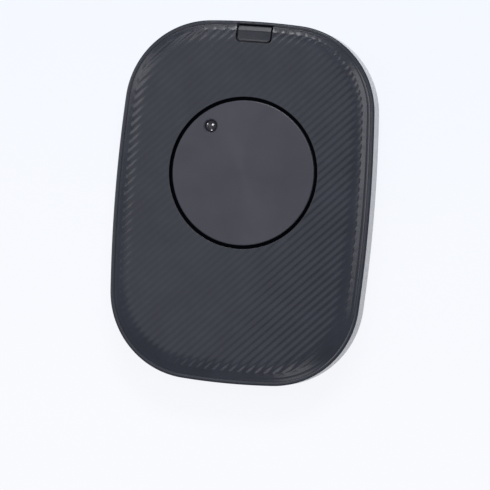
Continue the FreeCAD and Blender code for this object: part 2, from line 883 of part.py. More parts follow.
def motor_shaft():
    top = pan_bottom - shaft_top_gap
    return cylinder(motor_axis, motor_bottom + motor_shaft_floor_gap, top, motor_shaft_radius)


def motor_bushes():
    bore = motor_shaft_radius + bearing_clearance
    top = motor_top + motor_bush_proud
    return [
        cylinder(motor_axis, motor_bottom, motor_bottom + motor_bush_length, motor_bush_radius, bore),
        cylinder(motor_axis, top - motor_bush_length, top, motor_bush_radius, bore),
    ]


def motor_pinion():
    return gear(
        motor_axis,
        motor_pinion_teeth,
        pinion_shift,
        wheel_bottom - pinion_overhang,
        wheel_top,
        motor_direction + 180 + 180 / motor_pinion_teeth,
        motor_shaft_radius,
    )


# ================================================================ electronics
def usb_shell():
    outer = usb_section(usb_width, usb_height, usb_back, usb_front)
    return outer.cut(usb_section(usb_mouth_width, usb_mouth_height, usb_back, usb_front))


def usb_insulator():
    block_front = usb_back + usb_insulator_depth
    body = usb_section(usb_mouth_width, usb_mouth_height, usb_back, block_front)
    tongue = block(
        around(0, usb_tongue_width),
        (block_front, usb_front - usb_tongue_set_back),
        around(usb_middle, usb_tongue_thickness),
    )
    return fused([body, tongue])


def usb_contacts():
    front = usb_front - usb_tongue_set_back - usb_contact_set_back
    first = -usb_contact_pitch * (usb_contact_count - 1) / 2
    contacts = []
    for row in range(usb_contact_count):
        x_range = around(first + row * usb_contact_pitch, usb_contact_width)
        for side in (-1, 1):
            face = usb_middle + side * usb_tongue_thickness / 2
            z_range = sorted((face, face + side * usb_contact_thickness))
            contacts.append(block(x_range, (front - usb_contact_length, front), z_range))
    return contacts


def main_board():
    plate = block(around(0, board_width), (board_front, board_rear), (board_bottom, board_top))
    nose = block(
        around(0, board_nose_width), (board_rear, board_rear + board_nose), (board_bottom, board_top)
    )
    hole = board_screw["shank"] + pass_clearance
    holes = [cylinder(place, board_bottom, board_top, hole) for place in board_screw_places]
    return fused([plate, nose]).cut(holes)


def board_screws():
    return [screw(place, board_top, board_screw_length, board_screw, -1) for place in board_screw_places]


def switch_box(bottom, top):
    return block(around(switch_axis[0], switch_width), around(switch_axis[1], switch_length), (bottom, top))


def switch_base():
    floor = board_top + switch_cavity_floor
    return switch_box(board_top, switch_top).cut(
        cylinder(switch_axis, floor, switch_top, switch_cavity_radius)
    )


def switch_dome():
    floor = board_top + switch_cavity_floor
    return cylinder(switch_axis, floor, floor + switch_dome_thickness, switch_dome_radius)


def switch_frame():
    plate = switch_box(switch_top, switch_top + switch_frame_thickness)
    hole = plunger_radius + plunger_guide_clearance
    return plate.cut(cylinder(switch_axis, switch_top, switch_top + switch_frame_thickness, hole))


def switch_plunger():
    shoulder = switch_top - plunger_play
    collar = cylinder(
        switch_axis, shoulder - plunger_flange_thickness, shoulder, plunger_flange_radius
    )
    return fused([collar, cylinder(switch_axis, shoulder, plunger_top, plunger_radius)])


board_middle = (board_front + board_rear) / 2


def on_board(x, y, width, length, height):
    return block(around(x, width), around(y, length), (board_top, board_top + height))


def driver_chip():
    body = on_board(driver_x, board_middle, driver_width, driver_length, driver_height)
    pins = []
    first = -driver_pin_pitch * (driver_pin_count - 1) / 2
    for row in range(driver_pin_count):
        for side in (-1, 1):
            reach = driver_length / 2 + driver_pin_reach / 2
            x = driver_x + first + row * driver_pin_pitch
            y = board_middle + side * reach
            pins.append(on_board(x, y, driver_pin_width, driver_pin_reach, driver_pin_height))
    return fused([body] + pins)


def capacitors():
    first = -capacitor_pitch * (capacitor_count - 1) / 2
    y = board_front + capacitor_row_inset
    return [
        on_board(first + row * capacitor_pitch, y, capacitor_width, capacitor_length, capacitor_height)
        for row in range(capacitor_count)
    ]


header_x = header_side_inset - board_width / 2
header_front = board_front + header_inset
header_cavity = {
    "x": around(header_x, header_width - 2 * header_wall),
    "y": (header_front, header_front + header_depth - header_wall),
    "z": (board_top + header_wall, board_top + header_height),
}


def lead_header():
    body = block(
        around(header_x, header_width),
        (header_front, header_front + header_depth),
        (board_top, board_top + header_height),
    )
    return body.cut(block(header_cavity["x"], header_cavity["y"], header_cavity["z"]))


def lead_plug():
    x_low, x_high = header_cavity["x"]
    y_low, y_high = header_cavity["y"]
    return block(
        (x_low + plug_clearance, x_high - plug_clearance),
        (y_low, y_high - plug_clearance),
        header_cavity["z"],
    )


def rounded_path(points):
    """Straight runs joined by tangent arcs, each as large as its two runs allow."""
    edges = []
    here = points[0]
    for before, corner, after in zip(points, points[1:], points[2:]):
        arriving = (corner - before).normalize()
        leaving = (after - corner).normalize()
        run = min((corner - before).Length, (after - corner).Length) * lead_bend_share
        half_turn = math.acos(max(-1.0, min(1.0, arriving.dot(leaving)))) / 2
        start = corner - arriving * run
        stop = corner + leaving * run
        inward = (leaving - arriving).normalize()
        radius = run / math.tan(half_turn)
        middle = corner + inward * (radius / math.cos(half_turn) - radius)
        edges.append(Part.LineSegment(here, start).toShape())
        edges.append(Part.Arc(start, middle, stop).toShape())
        here = stop
    edges.append(Part.LineSegment(here, points[-1]).toShape())
    return Part.Wire(edges)


def motor_leads():
    """Four leads side by side: out of the can, along the left side, and up to the board."""
    low = floor_top + lead_floor_gap + lead_radius
    plug_middle = (header_cavity["z"][0] + header_cavity["z"][1]) / 2
    leads = []
    for number in range(lead_count):
        offset = (number - (lead_count - 1) / 2) * lead_pitch
        y = motor_axis[1] + offset
        lane = lead_lane_x(offset)
        exit_x = motor_axis[0] - math.sqrt(motor_radius ** 2 - offset ** 2) - motor_seat_clearance / 2
        last_x = header_x + offset
        points = [
            Vector(exit_x, y, low),
            Vector(lane, y, low),
            Vector(lane, lead_lane_end - offset, low),
            Vector(last_x, board_front - lead_rise_start - offset, low),
            Vector(last_x, board_front - lead_rise_end, plug_middle),
            Vector(last_x, header_front, plug_middle),
        ]
        path = rounded_path(points)
        ring = Part.Wire(Part.makeCircle(lead_radius, points[0], points[1] - points[0]))
        leads.append(path.makePipeShell([ring], True, True))
    return leads


# ================================================================ write every piece
os.makedirs("parts", exist_ok=True)
volume = top_volume()

save("base_shell", base_shell())
save("top_cover", top_cover(volume))
save("rubber_feet", *rubber_feet())
save(
    "case_screws",
    *[screw(place, case_screw_seat, case_screw_length, case_screw) for place in case_screw_places]
)
save("power_button", power_button(volume))

save("turntable_disc", turntable_disc())
save("marker_lens", marker_lens())
save("drive_gear", drive_gear())
save("hub_screws", *hub_screws())
save("hub_bush", hub_bush())
save("spindle", spindle())
save("glide_ring", cylinder(disc_axis, pan_top, glide_ring_top, glide_ring_outer, glide_ring_inner))
save("thrust_washers", *thrust_washers())
save("idler_gear", idler_gear())
save("idler_pin", idler_pin())

save("motor_can", motor_can())
save("motor_end_plate", motor_end_plate())
save("motor_bobbin", motor_bobbin())
save("motor_coils", *motor_coils())
save("motor_magnet", motor_magnet())
save("motor_shaft", motor_shaft())
save("motor_bushes", *motor_bushes())
save("motor_pinion", motor_pinion())
save(
    "motor_screws",
    *[screw(place, motor_top, motor_screw_length, motor_screw, -1) for place in motor_ear_places]
)
save("motor_leads", *motor_leads())

save("main_board", main_board())
save("board_screws", *board_screws())
save("usb_shell", usb_shell())
save("usb_insulator", usb_insulator())
save("usb_contacts", *usb_contacts())
save("switch_base", switch_base())
save("switch_dome", switch_dome())
save("switch_frame", switch_frame())
save("switch_plunger", switch_plunger())
save("controller_chip", on_board(chip_x, board_middle, chip_size, chip_size, chip_height))
save("driver_chip", driver_chip())
save("capacitors", *capacitors())
save("lead_header", lead_header())
save("lead_plug", lead_plug())
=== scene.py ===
import json
from math import asin, atan2, ceil, copysign, cos, hypot, pi, radians, sin, sqrt

import bmesh
import bpy
import numpy as np
from mathutils import Matrix, Vector
from mathutils.geometry import delaunay_2d_cdt


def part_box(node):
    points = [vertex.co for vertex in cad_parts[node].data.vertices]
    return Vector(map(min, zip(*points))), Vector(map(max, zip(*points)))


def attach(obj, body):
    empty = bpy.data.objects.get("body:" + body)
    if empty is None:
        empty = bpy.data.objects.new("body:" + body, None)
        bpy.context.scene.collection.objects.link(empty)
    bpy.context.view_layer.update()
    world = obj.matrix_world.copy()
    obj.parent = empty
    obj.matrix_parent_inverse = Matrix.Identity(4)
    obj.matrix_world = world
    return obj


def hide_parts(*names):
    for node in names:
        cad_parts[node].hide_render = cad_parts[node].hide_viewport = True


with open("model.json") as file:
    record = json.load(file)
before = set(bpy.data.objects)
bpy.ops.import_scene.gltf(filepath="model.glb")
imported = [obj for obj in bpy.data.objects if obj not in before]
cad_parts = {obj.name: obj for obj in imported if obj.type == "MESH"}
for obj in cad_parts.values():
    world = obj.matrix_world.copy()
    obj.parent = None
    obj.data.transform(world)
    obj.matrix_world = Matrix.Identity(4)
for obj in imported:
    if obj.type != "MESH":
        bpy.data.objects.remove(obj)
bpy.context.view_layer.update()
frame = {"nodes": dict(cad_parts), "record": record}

# The looks of a mouse jiggler: a slim silver and black plate with a turntable in its top.
# Meshes are worked out in millimetres and written in metres.
MM = 0.001

# ======== sizes, in millimetres


def corners(node):
    """A CAD node's lowest and highest corner, in millimetres."""
    return [tuple(value / MM for value in corner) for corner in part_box(node)]


def middle_of(node):
    """The middle of a CAD node's box, seen from above."""
    low, high = corners(node)
    return (low[0] + high[0]) / 2, (low[1] + high[1]) / 2


# ---- levels and places from the frame
DISC_LOW, DISC_HIGH = corners("turntable_disc")
BUTTON_LOW, BUTTON_HIGH = corners("power_button")
PLATEAU = DISC_HIGH[2]
PARTING = corners("base_shell")[1][2]
COVER_BOTTOM = corners("top_cover")[0][2]
RING_BOTTOM, RING_TOP = (corner[2] for corner in corners("glide_ring"))
LENS_BOTTOM, LENS_TOP = (corner[2] for corner in corners("marker_lens"))
FOOT_BOTTOM, FOOT_TOP = (corner[2] for corner in corners("rubber_feet"))
DISC_AXIS = (0.0, round((DISC_LOW[1] + DISC_HIGH[1]) / 2, 3))
DISC_RADIUS = (DISC_HIGH[0] - DISC_LOW[0]) / 2
LENS_AXIS = middle_of("marker_lens")

# ---- plate outline, seen from above
HALF_WIDTH = 45.0
HALF_LENGTH = 62.3
SIDE_RADIUS = 525.0
END_RADIUS = 237.0
CORNER_RADIUS = 30.0
STATION_STEP = 1.1  # between two stations along the outline
NOWHERE = 1e9  # inset of a point that lies beside none of the outline's arcs

# ---- rules for all meshes
SLIVER = 2e-4  # room for rounding when a triangle is kept or dropped
NEAR = 0.01  # room for rounding when a vertex is told by its place
MERGE_DISTANCE = 5e-4  # vertices closer than this are one
OVERLAP = 0.1  # how far an inner feature reaches into the shell that carries it
ROUND_STEPS = 6  # faces across a rounded edge

# ---- cover: insets from its edge
LIP_TOP = PARTING + 0.8
PARTING_CHAMFER = 0.14  # opens a fine shadow line where cover and base meet
LIP_BEVEL = [(0.5, 0.03), (0.09, 0.3), (0.02, 0.36), (0.0, 0.45)]  # inset and drop, outwards
LIP_CREST = (0.6, 0.7)  # insets between which the lip is level
LIP_SIDE = [(0.8, 0.01), (1.25, 0.15), (1.33, 0.3)]  # inset and drop, inwards
GROOVE = (1.37, 1.5)
GROOVE_FLOOR = LIP_TOP - 0.34
BORDER = 1.62  # where the level border begins, outside the pillow
PILLOW_SHIFT = (-0.3, 0.5)  # the pillow's middle, seen from the plate's
PILLOW_BORDER = 1.155  # drop of the border below the plateau
PILLOW_EDGE = 2.3  # insets within the pillow: where its steep edge begins
PILLOW_FOOT = 3.8  # where the shoulder takes over from the edge
SHOULDER_DROP = 0.58
SHOULDER_INSET = 8.2  # where the shoulder reaches the plateau
EDGE_BEND = 0.06  # half width of the bend at the pillow's edge
THICK_RIM = 9.5  # inset of the hollow below the cover
COVER_THICKNESS = 1.3
TONGUE = {"inset": 1.75, "thickness": 1.0, "depth": 1.2, "gap": 7.3}  # gap: its half width
COVER_BOSS_RADIUS = 2.6
COVER_SCREW_HOLE = 1.05
COVER_SCREW_TIP = 8.6

# ---- ridges of the cover's texture
RIDGE_PITCH = 2.1077  # square to the ridges
RIDGE_TURN = radians(-45.22)  # direction square to the ridges, from +X
RIDGE_CREST = 0.555  # where a crest lies within a pitch, measured from the origin
RIDGE_DEPTH = 0.085  # crest to valley
RIDGE_FADE = (3.6, 3.95)  # insets within the pillow between which the ridges grow to full depth
ROWS_PER_PITCH = 8
ROW_SAMPLE = 0.125  # finest step along a row
ROW_CLEARANCE = 0.1  # between a row's ends and the edges of well, opening and pillow
ROW_ZONES = ((PILLOW_FOOT + 0.2, 2), (SHOULDER_INSET + 0.3, 5))  # inset, and samples per point
PLATEAU_ZONE = 40  # samples per point further in

# ---- well and turntable
WELL_RADIUS = 26.1
WELL_ROUND = 0.18
WELL_STEPS = 720
WELL_FOOT = 0.1  # chamfer where its wall meets the pan
PAN_WALL = 1.2
PAN_FLOOR = 0.8  # from the pan's underside up to the glide ring
PAN_HOLE_RADIUS = 6.6
DISC_STEPS = 360
DISC_BOTTOM = RING_TOP + 0.1
DISC_EDGE_ROUND = 0.35
DISC_EDGE_RING = 0.12  # width of the ring of faces inside the rounding
DISC_CHAMFER = 0.1
HUB_RADIUS = 6.0
HUB_BORE = 2.53
HUB_SCREW_PITCH = 4.3
HUB_SCREW_HOLE = 0.6
HUB_SCREW_TIP = 9.2
HUB_ROOF = 0.35  # how far below the disc's underside the hub's bore ends
LENS_SEAT_RADIUS = 2.1
LENS_COUNTERSINK = 0.4
LENS_SEAT_DEPTH = 0.9
LENS_RADIUS = 2.05
LENS_SEAT_STEPS = 64
LENS_BAND = 0.2  # upright side of the marker, below its dome
LENS_CHAMFER = 0.1
DOME_STEPS = 16

# ---- power button and its opening
BUTTON_HALF_WIDTH = 5.8
BUTTON_FRONT = 55.45
BUTTON_REAR = 60.72
BUTTON_CORNER = 1.3
BUTTON_GAP = 0.55
BUTTON_EDGE = 0.1  # rounding of the button's and the opening's edges
BUTTON_CORNER_STEPS = 10
OPENING_STEP = 0.25  # between two points along the opening's edge
CAP_STEP = 0.2  # and along the cap's
CAP_GRID = (0.3, 0.075)  # between the points of the cap's top, across and along
CAP_GRID_ROOM = ((0.25, 0.2), (0.2, 0.15))  # kept free at the two ends of x and of y
CAP_GRID_EDGE = 0.06  # kept free along the cap's edge
# inset and height of the band's knots
BUTTON_RIDGE = [(1.58, 10.19), (2.0, 10.38), (3.2, 10.88), (3.38, 10.87), (3.55, 10.75)]
BUTTON_DISH = (3.68, 10.73, 0.12, 0.035)  # the finger dish's start, height, slope and bend
BUTTON_FLANGE = (9.0, 9.8)  # lowest and highest level
FLANGE_REAR = 0.9  # how far before the button's rear the flange ends
FLANGE_OVERLAP = 1e-3  # of flange and cap, so that they join
BUTTON_STEM_RADIUS = 1.1
SWITCH_Y = HALF_LENGTH - 5.0
SILL_CLEARANCE = 0.06  # between the button and the cover's sill behind it
SILL_THICKNESS = 0.1
GAP_SHADE_ROOM = 0.03  # how far the gaps' painted shade reaches past their walls

# ---- feet
FOOT_PLACES = [(30.0 * side, 44.0 * end) for side in (-1, 1) for end in (-1, 1)]
FOOT_RADIUS = 5.0
FOOT_ROUND = 0.25
FOOT_ROUND_STEPS = 4

# ---- small repeats in the finishes
GRAIN_SPIRAL = radians(-40)  # how far the disc's grain leans from round its axis
WIRE_PITCH = 0.16
DRIVER_PIN_REACH = 0.8
CAPACITOR_PITCH = 2.6
CAPACITOR_WIDTH = 1.6
CAPACITOR_END = 0.35


# ======== the plate's outline
def outline_arcs():
    """The outline's eight arcs, counter-clockwise: centre x and y, radius, first and last angle."""
    side_x = HALF_WIDTH - SIDE_RADIUS
    end_y = HALF_LENGTH - END_RADIUS
    reach_side = SIDE_RADIUS - CORNER_RADIUS
    reach_end = END_RADIUS - CORNER_RADIUS
    gap = hypot(side_x, end_y)
    along = (reach_side ** 2 - reach_end ** 2 + gap ** 2) / (2 * gap)
    height = sqrt(reach_side ** 2 - along ** 2)
    forward = (-side_x / gap, end_y / gap)
    corner_x = side_x + forward[0] * along - forward[1] * height
    corner_y = forward[1] * along + forward[0] * height
    side_half = atan2(corner_y, corner_x - side_x)
    end_half = atan2(corner_x, corner_y - end_y)
    arcs = []
    for sign, base in ((1, 0.0), (-1, pi)):
        side = (base - side_half, base + side_half)
        end = (base + pi / 2 - end_half, base + pi / 2 + end_half)
        arcs += [
            (sign * side_x, 0.0, SIDE_RADIUS, *side),
            (sign * corner_x, sign * corner_y, CORNER_RADIUS, side[1], end[0]),
            (0.0, sign * end_y, END_RADIUS, *end),
            (-sign * corner_x, sign * corner_y, CORNER_RADIUS, end[1], base + pi - side_half),
        ]
    return arcs


ARCS = outline_arcs()


def stations():
    """Places round the outline: arrays of centre x, centre y, radius and angle."""
    rows = []
    for x, y, radius, first, last in ARCS:
        count = max(4, round(radius * (last - first) / STATION_STEP))
        for number in range(count):
            rows.append((x, y, radius, first + (last - first) * number / count))
    return np.array(rows).T


STATIONS = stations()


def loop_at(inset, z=0.0):
    """A closed row of points round the outline, moved in by an inset."""
    x, y, radius, angle = STATIONS
    reach = radius - inset
    return np.column_stack([x + reach * np.cos(angle), y + reach * np.sin(angle), np.full(len(x), z)])


def inset_of(x, y):
    """How far points lie in from the outline."""
    nearest = np.full(np.shape(x), NOWHERE)
    for arc_x, arc_y, radius, first, last in ARCS:
        away_x = x - arc_x
        away_y = y - arc_y
        turn = np.mod(np.arctan2(away_y, away_x) - first, 2 * pi)
        inside = turn <= last - first + 1e-9
        distance = radius - np.hypot(away_x, away_y)
        nearest = np.where(inside & (distance < nearest), distance, nearest)
    return nearest


def from_disc_axis(x, y):
    return np.hypot(x - DISC_AXIS[0], y - DISC_AXIS[1])


def outside(holes):
    """A test for points outside all round holes, each given by place, radius, steps and more."""
    def kept(x, y):
        far = np.full(len(x), True)
        for (hole_x, hole_y), radius, steps, *_ in holes:
            far &= np.hypot(x - hole_x, y - hole_y) > radius * cos(pi / steps) - SLIVER
        return far
    return kept


# ======== heights of the cover's top
def smooth(low, high, x):
    share = np.clip((x - low) / (high - low), 0.0, 1.0)
    return share * share * (3 - 2 * share)


RIM = [(inset, LIP_TOP) for inset in LIP_CREST]
RIM += [(inset, LIP_TOP - drop) for inset, drop in LIP_SIDE]
RIM += [(inset, GROOVE_FLOOR) for inset in GROOVE]
RIM.append((BORDER, PLATEAU - PILLOW_BORDER))


def pillow_inset(x, y):
    return inset_of(x - PILLOW_SHIFT[0], y - PILLOW_SHIFT[1])


def pillow_height(within):
    """Height at an inset within the pillow: level border, steep edge, round shoulder and plateau."""
    run = SHOULDER_INSET - PILLOW_FOOT
    radius = (run ** 2 + SHOULDER_DROP ** 2) / (2 * SHOULDER_DROP)
    levels = (PLATEAU - PILLOW_BORDER, PLATEAU - SHOULDER_DROP)
    edge = np.interp(within, (PILLOW_EDGE, PILLOW_FOOT), levels)
    rise = np.clip(SHOULDER_INSET - within, 0.0, run)
    shoulder = PLATEAU - radius + np.sqrt(radius ** 2 - rise ** 2)
    return np.where(within < PILLOW_FOOT, edge, shoulder)


def ridge_drop(x, y, within):
    """How far the texture lies below the smooth top."""
    across = (x * cos(RIDGE_TURN) + y * sin(RIDGE_TURN)) / RIDGE_PITCH - RIDGE_CREST
    return RIDGE_DEPTH / 2 * (1 - np.cos(2 * pi * across)) * smooth(*RIDGE_FADE, within)


def along_knots(x, knots):
    """Straight lines between knots of (x, height)."""
    return np.interp(x, [knot[0] for knot in knots], [knot[1] for knot in knots])


def cover_height(x, y):
    """Height of the cover's top, from the lip's crest inwards."""
    inset = inset_of(x, y)
    within = pillow_inset(x, y)
    rim = along_knots(inset, RIM)
    return np.where(inset < BORDER, rim, pillow_height(within)) - ridge_drop(x, y, within)


def button_height(x, y):
    """A band that carries the pillow's edge on, then a step down into the finger dish."""
    inset = inset_of(x, y)
    start, height, slope, bend = BUTTON_DISH
    run = inset - start
    band = np.minimum(along_knots(inset, BUTTON_RIDGE), PLATEAU)
    return np.where(inset < start, band, height + slope * run + bend * run ** 2)


# ---- the button's outline
def button_outline(grow):
    """The button from above, grown by a distance: sharp outer corners and round inner ones."""
    half = BUTTON_HALF_WIDTH + grow
    front = BUTTON_FRONT - grow
    rear = BUTTON_REAR + grow
    radius = BUTTON_CORNER + grow
    points = [(half, rear), (-half, rear)]
    for side, first in ((-1, pi), (1, 1.5 * pi)):
        middle = (side * (half - radius), front + radius)
        for step in range(BUTTON_CORNER_STEPS + 1):
            angle = first + pi / 2 * step / BUTTON_CORNER_STEPS
            points.append((middle[0] + radius * cos(angle), middle[1] + radius * sin(angle)))
    return np.array(points)


def subdivided(points, step):
    """A closed row of points with no side longer than a step."""
    out = []
    for here, there in zip(points, np.roll(points, -1, axis=0)):
        count = max(1, ceil(np.linalg.norm(there - here) / step))
        out += [here + (there - here) * number / count for number in range(count)]
    return np.array(out)


def button_distance(x, y, grow=0.0):
    """Distance outside the button's outline, negative inside it."""
    middle = (BUTTON_FRONT + BUTTON_REAR) / 2
    over_x = np.abs(x) - BUTTON_HALF_WIDTH
    over_y = np.abs(y - middle) - (BUTTON_REAR - BUTTON_FRONT) / 2
    round_x = np.maximum(over_x + BUTTON_CORNER, 0)
    round_y = np.maximum(over_y + BUTTON_CORNER, 0)
    rounded = np.hypot(round_x, round_y) - BUTTON_CORNER
    in_corner = (y < middle) & (round_x > 0) & (round_y > 0)
    return np.where(in_corner, rounded, np.maximum(over_x, over_y)) - grow


def toward_button(x, y, grow, distance):
    """A point of the button's outline grown by grow, moved in by a distance."""
    radius = BUTTON_CORNER + grow
    side = copysign(1.0, x)
    middle_x = side * (BUTTON_HALF_WIDTH - BUTTON_CORNER)
    middle_y = BUTTON_FRONT + BUTTON_CORNER
    if y < middle_y and abs(x) > abs(middle_x):
        share = (radius - distance) / radius
        return middle_x + (x - middle_x) * share, middle_y + (y - middle_y) * share
    half, front, rear = BUTTON_HALF_WIDTH + grow, BUTTON_FRONT - grow, BUTTON_REAR + grow
    if abs(x) > half - NEAR:
        x = side * (half - distance)
    if y > rear - NEAR:
        y = rear - distance
    if y < front + NEAR:
        y = front + distance
    return x, y


def rounded_edge(grow, inwards):
    """Where an edge of the button's outline, grown by grow, goes as it is rounded over."""
    def place(p):
        return (*toward_button(p[0], p[1], grow, inwards), p[2] - BUTTON_EDGE)
    return place


def at_level(z):
    return lambda p: (p[0], p[1], z)


# ======== mesh helpers
def quarter_turn(rounding, steps):
    """Steps round a quarter circle: how far each is out from its end and down from its start."""
    angles = [pi / 2 * step / steps for step in range(steps + 1)]
    return [(rounding * (1 - sin(angle)), rounding * (1 - cos(angle))) for angle in angles]


def add_row(bm, points):
    return [bm.verts.new(Vector(p) * MM) for p in points]


def bridge(bm, row_a, row_b, closed=True):
    """Quads between two rows with as many vertices."""
    count = len(row_a)
    for number in range(count if closed else count - 1):
        after = (number + 1) % count
        bm.faces.new((row_a[number], row_a[after], row_b[after], row_b[number]))


def add_rings(bm, profile):
    """A profile of (inset, z) carried round the outline."""
    rows = [add_row(bm, loop_at(inset, z)) for inset, z in profile]
    for row_a, row_b in zip(rows, rows[1:]):
        bridge(bm, row_a, row_b)


def circle(centre, radius, steps, z=0.0):
    angle = np.arange(steps) * 2 * pi / steps
    x = centre[0] + radius * np.cos(angle)
    y = centre[1] + radius * np.sin(angle)
    return np.column_stack([x, y, np.full(steps, z)])


def add_turned(bm, centre, profile, steps):
    """A profile of (radius, z) turned about an upright axis. A radius of 0 makes a pole."""
    rows = []
    for radius, z in profile:
        places = circle(centre, radius, steps, z) if radius else [(centre[0], centre[1], z)]
        rows.append(add_row(bm, places))
    for row_a, row_b in zip(rows, rows[1:]):
        if len(row_a) == 1 or len(row_b) == 1:
            pole, ring = (row_a[0], row_b) if len(row_a) == 1 else (row_b[0], row_a)
            for number in range(steps):
                bm.faces.new((pole, ring[number], ring[(number + 1) % steps]))
        else:
            bridge(bm, row_a, row_b)


def add_block(bm, low, high):
    """A box between two corners."""
    ends = list(zip(low, high))
    v = add_row(bm, [(x, y, z) for z in ends[2] for y in ends[1] for x in ends[0]])
    for face in ((0, 2, 3, 1), (4, 5, 7, 6), (0, 1, 5, 4), (2, 6, 7, 3), (0, 4, 6, 2), (1, 3, 7, 5)):
        bm.faces.new([v[number] for number in face])


def add_sheet(bm, loops, keep, height, chains=()):
    """A triangulated surface over closed loops and open chains of points, seen from above.

    keep tells from arrays of x and y which triangles stay. height is a level, or gives each
    vertex its z in the same way.
    """
    points = []
    edges = []
    for rows, closed in ((loops, True), (chains, False)):
        for row in rows:
            first = len(points)
            points += [Vector(p[:2]) for p in row]
            edges += [(first + n, first + n + 1) for n in range(len(row) - 1)]
            if closed:
                edges.append((len(points) - 1, first))
    made = delaunay_2d_cdt(points, edges, [], 0, 1e-6)
    places = np.array([tuple(p) for p in made[0]])
    triangles = np.array(made[2])
    middle = places[triangles].mean(axis=1)
    triangles = triangles[keep(middle[:, 0], middle[:, 1])]
    z = height(places[:, 0], places[:, 1]) if callable(height) else np.full(len(places), height)
    used = np.unique(triangles)
    vertex = {n: bm.verts.new((places[n][0] * MM, places[n][1] * MM, z[n] * MM)) for n in used}
    for a, b, c in triangles:
        bm.faces.new((vertex[a], vertex[b], vertex[c]))


def merge(bm):
    bmesh.ops.remove_doubles(bm, verts=bm.verts, dist=MERGE_DISTANCE * MM)


def open_edges(bm, chosen):
    """Edges with one face whose two ends satisfy a test on (x, y, z) in millimetres."""
    return [e for e in bm.edges if len(e.link_faces) == 1 and all(chosen(v.co / MM) for v in e.verts)]


def extrude(bm, edges, place):
    """Grows faces from open edges, with new vertices where place says. Returns the new edges."""
    made = bmesh.ops.extrude_edge_only(bm, edges=edges)["geom"]
    for vertex in (g for g in made if isinstance(g, bmesh.types.BMVert)):
        vertex.co = Vector(place(vertex.co / MM)) * MM
    return [g for g in made if isinstance(g, bmesh.types.BMEdge) and len(g.link_faces) == 1]


def shade(mesh, sharp_angle=40.0):
    """Smooth shading, but for edges bent more than an angle in degrees."""
    mesh.shade_smooth()
    mesh.set_sharp_from_angle(angle=radians(sharp_angle))


def finish_mesh(bm, name, sharp_angle=40.0):
    """The object of a mesh, merged and shaded."""
    merge(bm)
    bmesh.ops.recalc_face_normals(bm, faces=bm.faces)
    mesh = bpy.data.meshes.new(name)
    bm.to_mesh(mesh)
    bm.free()
    shade(mesh, sharp_angle)
    piece = bpy.data.objects.new(name, mesh)
    bpy.context.scene.collection.objects.link(piece)
    return piece


def joined(piece, bm):
    """Joins a closed mesh to a piece."""
    tool = finish_mesh(bm, piece.name + "_tool")
    change = piece.modifiers.new("join", "BOOLEAN")
    change.operation = "UNION"
    change.solver = "EXACT"
    change.object = tool
    depsgraph = bpy.context.evaluated_depsgraph_get()
    result = bpy.data.meshes.new_from_object(piece.evaluated_get(depsgraph))
    piece.modifiers.clear()
    old = piece.data
    piece.data = result
    result.name = piece.name
    bpy.data.meshes.remove(old)
    bpy.data.objects.remove(tool)
    shade(result)
    return piece


def paint_gap_shade(piece):
    """Paints shade into a piece's faces down in the well and in the gap round the button: a near-black
    finish with almost no gloss.
    """
    piece.data.materials.append(finish["painted_gap_shade"])
    for face in piece.data.polygons:
        x, y, z = face.center / MM
        in_well = from_disc_axis(x, y) < WELL_RADIUS + GAP_SHADE_ROOM and z < PLATEAU - WELL_ROUND
        beside_button = -GAP_SHADE_ROOM < button_distance(x, y) < BUTTON_GAP + GAP_SHADE_ROOM
        if in_well or beside_button and z < LIP_TOP - BUTTON_EDGE:
            face.material_index = 1


# ======== pieces
def numbers_across(step):
    """Whole numbers of steps that reach across the plate, both ways from its middle."""
    count = ceil(hypot(HALF_WIDTH, HALF_LENGTH) / step)
    return np.arange(-count, count + 1)


def ridge_rows():
    """Rows of points along the ridges, closer together where the top bends or ends."""
    spacing = RIDGE_PITCH / ROWS_PER_PITCH
    steps = numbers_across(ROW_SAMPLE)
    along = steps * ROW_SAMPLE
    chains = []
    for row in numbers_across(spacing):
        across = row * spacing + RIDGE_CREST * RIDGE_PITCH
        x = across * cos(RIDGE_TURN) - along * sin(RIDGE_TURN)
        y = across * sin(RIDGE_TURN) + along * cos(RIDGE_TURN)
        inset = pillow_inset(x, y)
        from_well = from_disc_axis(x, y) - WELL_RADIUS - WELL_ROUND
        from_button = button_distance(x, y, BUTTON_GAP + BUTTON_EDGE)
        inside = (inset > RIDGE_FADE[0] + ROW_CLEARANCE) & (inset < NOWHERE)
        inside &= (from_well > ROW_CLEARANCE) & (from_button > ROW_CLEARANCE)
        stride = np.full(len(steps), PLATEAU_ZONE)
        for zone_end, samples in reversed(ROW_ZONES):
            stride[inset < zone_end] = samples
        wanted = steps % stride == 0
        starts = inside & ~np.roll(inside, 1)
        ends = inside & ~np.roll(inside, -1)
        chain = []
        for number in np.flatnonzero(inside & (wanted | starts | ends)):
            if starts[number] and chain:
                chains.append(chain)
                chain = []
            chain.append((x[number], y[number]))
        if chain:
            chains.append(chain)
    return chains


